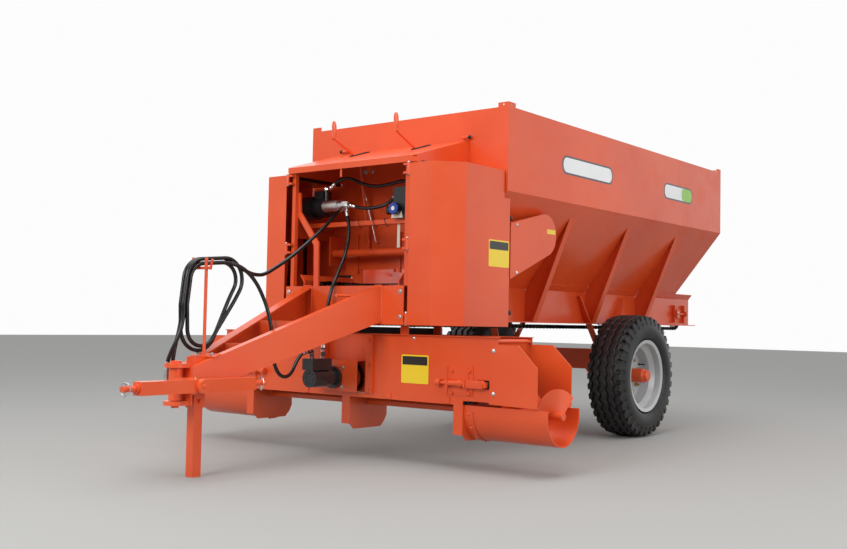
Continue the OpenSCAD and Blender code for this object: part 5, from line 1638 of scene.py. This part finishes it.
# Stitches on both faces of each rib
RIB_COUNT = 3
RIB_START = -0.810
RIB_PITCH = 0.758
RIB_HALF = 0.0045
RIB_OUT = 0.0015
RIB_STITCHES = ((1.10, 1.14), (1.24, 1.28), (1.36, 1.39))
RIB_BEAD = 0.0032


def make_welds():
    with new_piece("weld_beads", ORANGE_PAINT, slot="paint", smooth=60) as bm:
        seed = 0.0
        for side in (-1, 1):
            for y in BEAM_SEAM_Y:
                foot, head = [at(BEAM_SEAM_X, side * y, z) for z in BEAM_SEAM_Z]
                add_bead(bm, foot, head, BEAM_BEAD, seed)
                seed += 0.7
            start, end = [at(BEAM_SEAM_X, side * y, BEAM_SEAM_TOP) for y in BEAM_SEAM_ENDS]
            add_bead(bm, start, end, TOP_BEAD, seed)
            lip_y = side * (slope_y(LIP_Z) + LIP_OUT)
            for k in range(LIP_STITCHES):
                x = LIP_START - LIP_PITCH * k
                add_bead(bm, at(x, lip_y, LIP_Z), at(x - LIP_STITCH, lip_y, LIP_Z), LIP_BEAD, seed)
                seed += 0.9
            for k in range(RIB_COUNT):
                for face in (-RIB_HALF, RIB_HALF):
                    x = RIB_START - RIB_PITCH * k + face
                    for stitch in RIB_STITCHES:
                        foot, head = [at(x, side * (slope_y(z) + RIB_OUT), z) for z in stitch]
                        add_bead(bm, foot, head, RIB_BEAD, seed)
                        seed += 0.5


make_welds()


# Stage: pale floor and soft light

BACKDROP_STRENGTH = 0.98
SKY_NEAR = 0.50
SKY_FAR = 1.40
FLOOR_REACH = 30.0
FLOOR_COLOUR = (0.34, 0.34, 0.33, 1)
FLOOR_ROUGHNESS = 0.85
OBJECT_MIDDLE = Vector((0.0, 0.0, 0.9))
# Soft lights aimed at the machine's middle: place, width and power
SOFT_LIGHTS = [
    ("overhead", (1.5, 1.5, 7.0), 6.0, 280),
    ("front", (8.0, 0.5, 4.0), 4.0, 295),
    ("left", (1.5, 8.0, 2.5), 4.0, 165)]


def light_sky(tree):
    """White to look at; as a light it is brighter on the side behind the machine in the photograph."""
    seen = tree.nodes["Background"]
    seen.inputs["Color"].default_value = (1.0, 1.0, 1.0, 1)
    seen.inputs["Strength"].default_value = BACKDROP_STRENGTH
    coords = add_node(tree, "ShaderNodeTexCoord")
    away = add_node(tree, "ShaderNodeVectorMath", operation="DOT_PRODUCT")
    away.inputs[1].default_value = (-math.cos(CAMERA_HEADING), -math.sin(CAMERA_HEADING), 0)
    tree.links.new(coords.outputs["Generated"], away.inputs[0])
    glow = add_node(tree, "ShaderNodeBackground")
    tree.links.new(ranged(tree, away.outputs["Value"], -1.0, 1.0, SKY_NEAR, SKY_FAR), glow.inputs["Strength"])
    path = add_node(tree, "ShaderNodeLightPath")
    mix = add_node(tree, "ShaderNodeMixShader")
    tree.links.new(path.outputs["Is Camera Ray"], mix.inputs[0])
    tree.links.new(glow.outputs["Background"], mix.inputs[1])
    tree.links.new(seen.outputs["Background"], mix.inputs[2])
    tree.links.new(mix.outputs["Shader"], tree.nodes["World Output"].inputs["Surface"])


def make_stage():
    mesh = bpy.data.meshes.new("floor")
    corners = [(FLOOR_REACH * x, FLOOR_REACH * y, 0) for x, y in ((-1, -1), (1, -1), (1, 1), (-1, 1))]
    mesh.from_pydata(corners, [], [range(4)])
    material = bpy.data.materials.new("pale_floor")
    material.use_nodes = True
    shader = material.node_tree.nodes["Principled BSDF"]
    shader.inputs["Base Color"].default_value = FLOOR_COLOUR
    shader.inputs["Roughness"].default_value = FLOOR_ROUGHNESS
    mesh.materials.append(material)
    floor = bpy.data.objects.new("floor", mesh)
    scene.collection.objects.link(floor)
    world = bpy.data.worlds.new("studio")
    world.use_nodes = True
    light_sky(world.node_tree)
    scene.world = world
    scene.view_settings.view_transform = "Standard"


def add_soft_light(name, place, size, power):
    data = bpy.data.lights.new(name, "AREA")
    data.shape = "DISK"
    data.size = size
    data.energy = power
    light = bpy.data.objects.new(name, data)
    light.matrix_world = Matrix.Translation(place) @ frame_towards(Vector(place) - OBJECT_MIDDLE)
    scene.collection.objects.link(light)


make_stage()
for light_row in SOFT_LIGHTS:
    add_soft_light(*light_row)
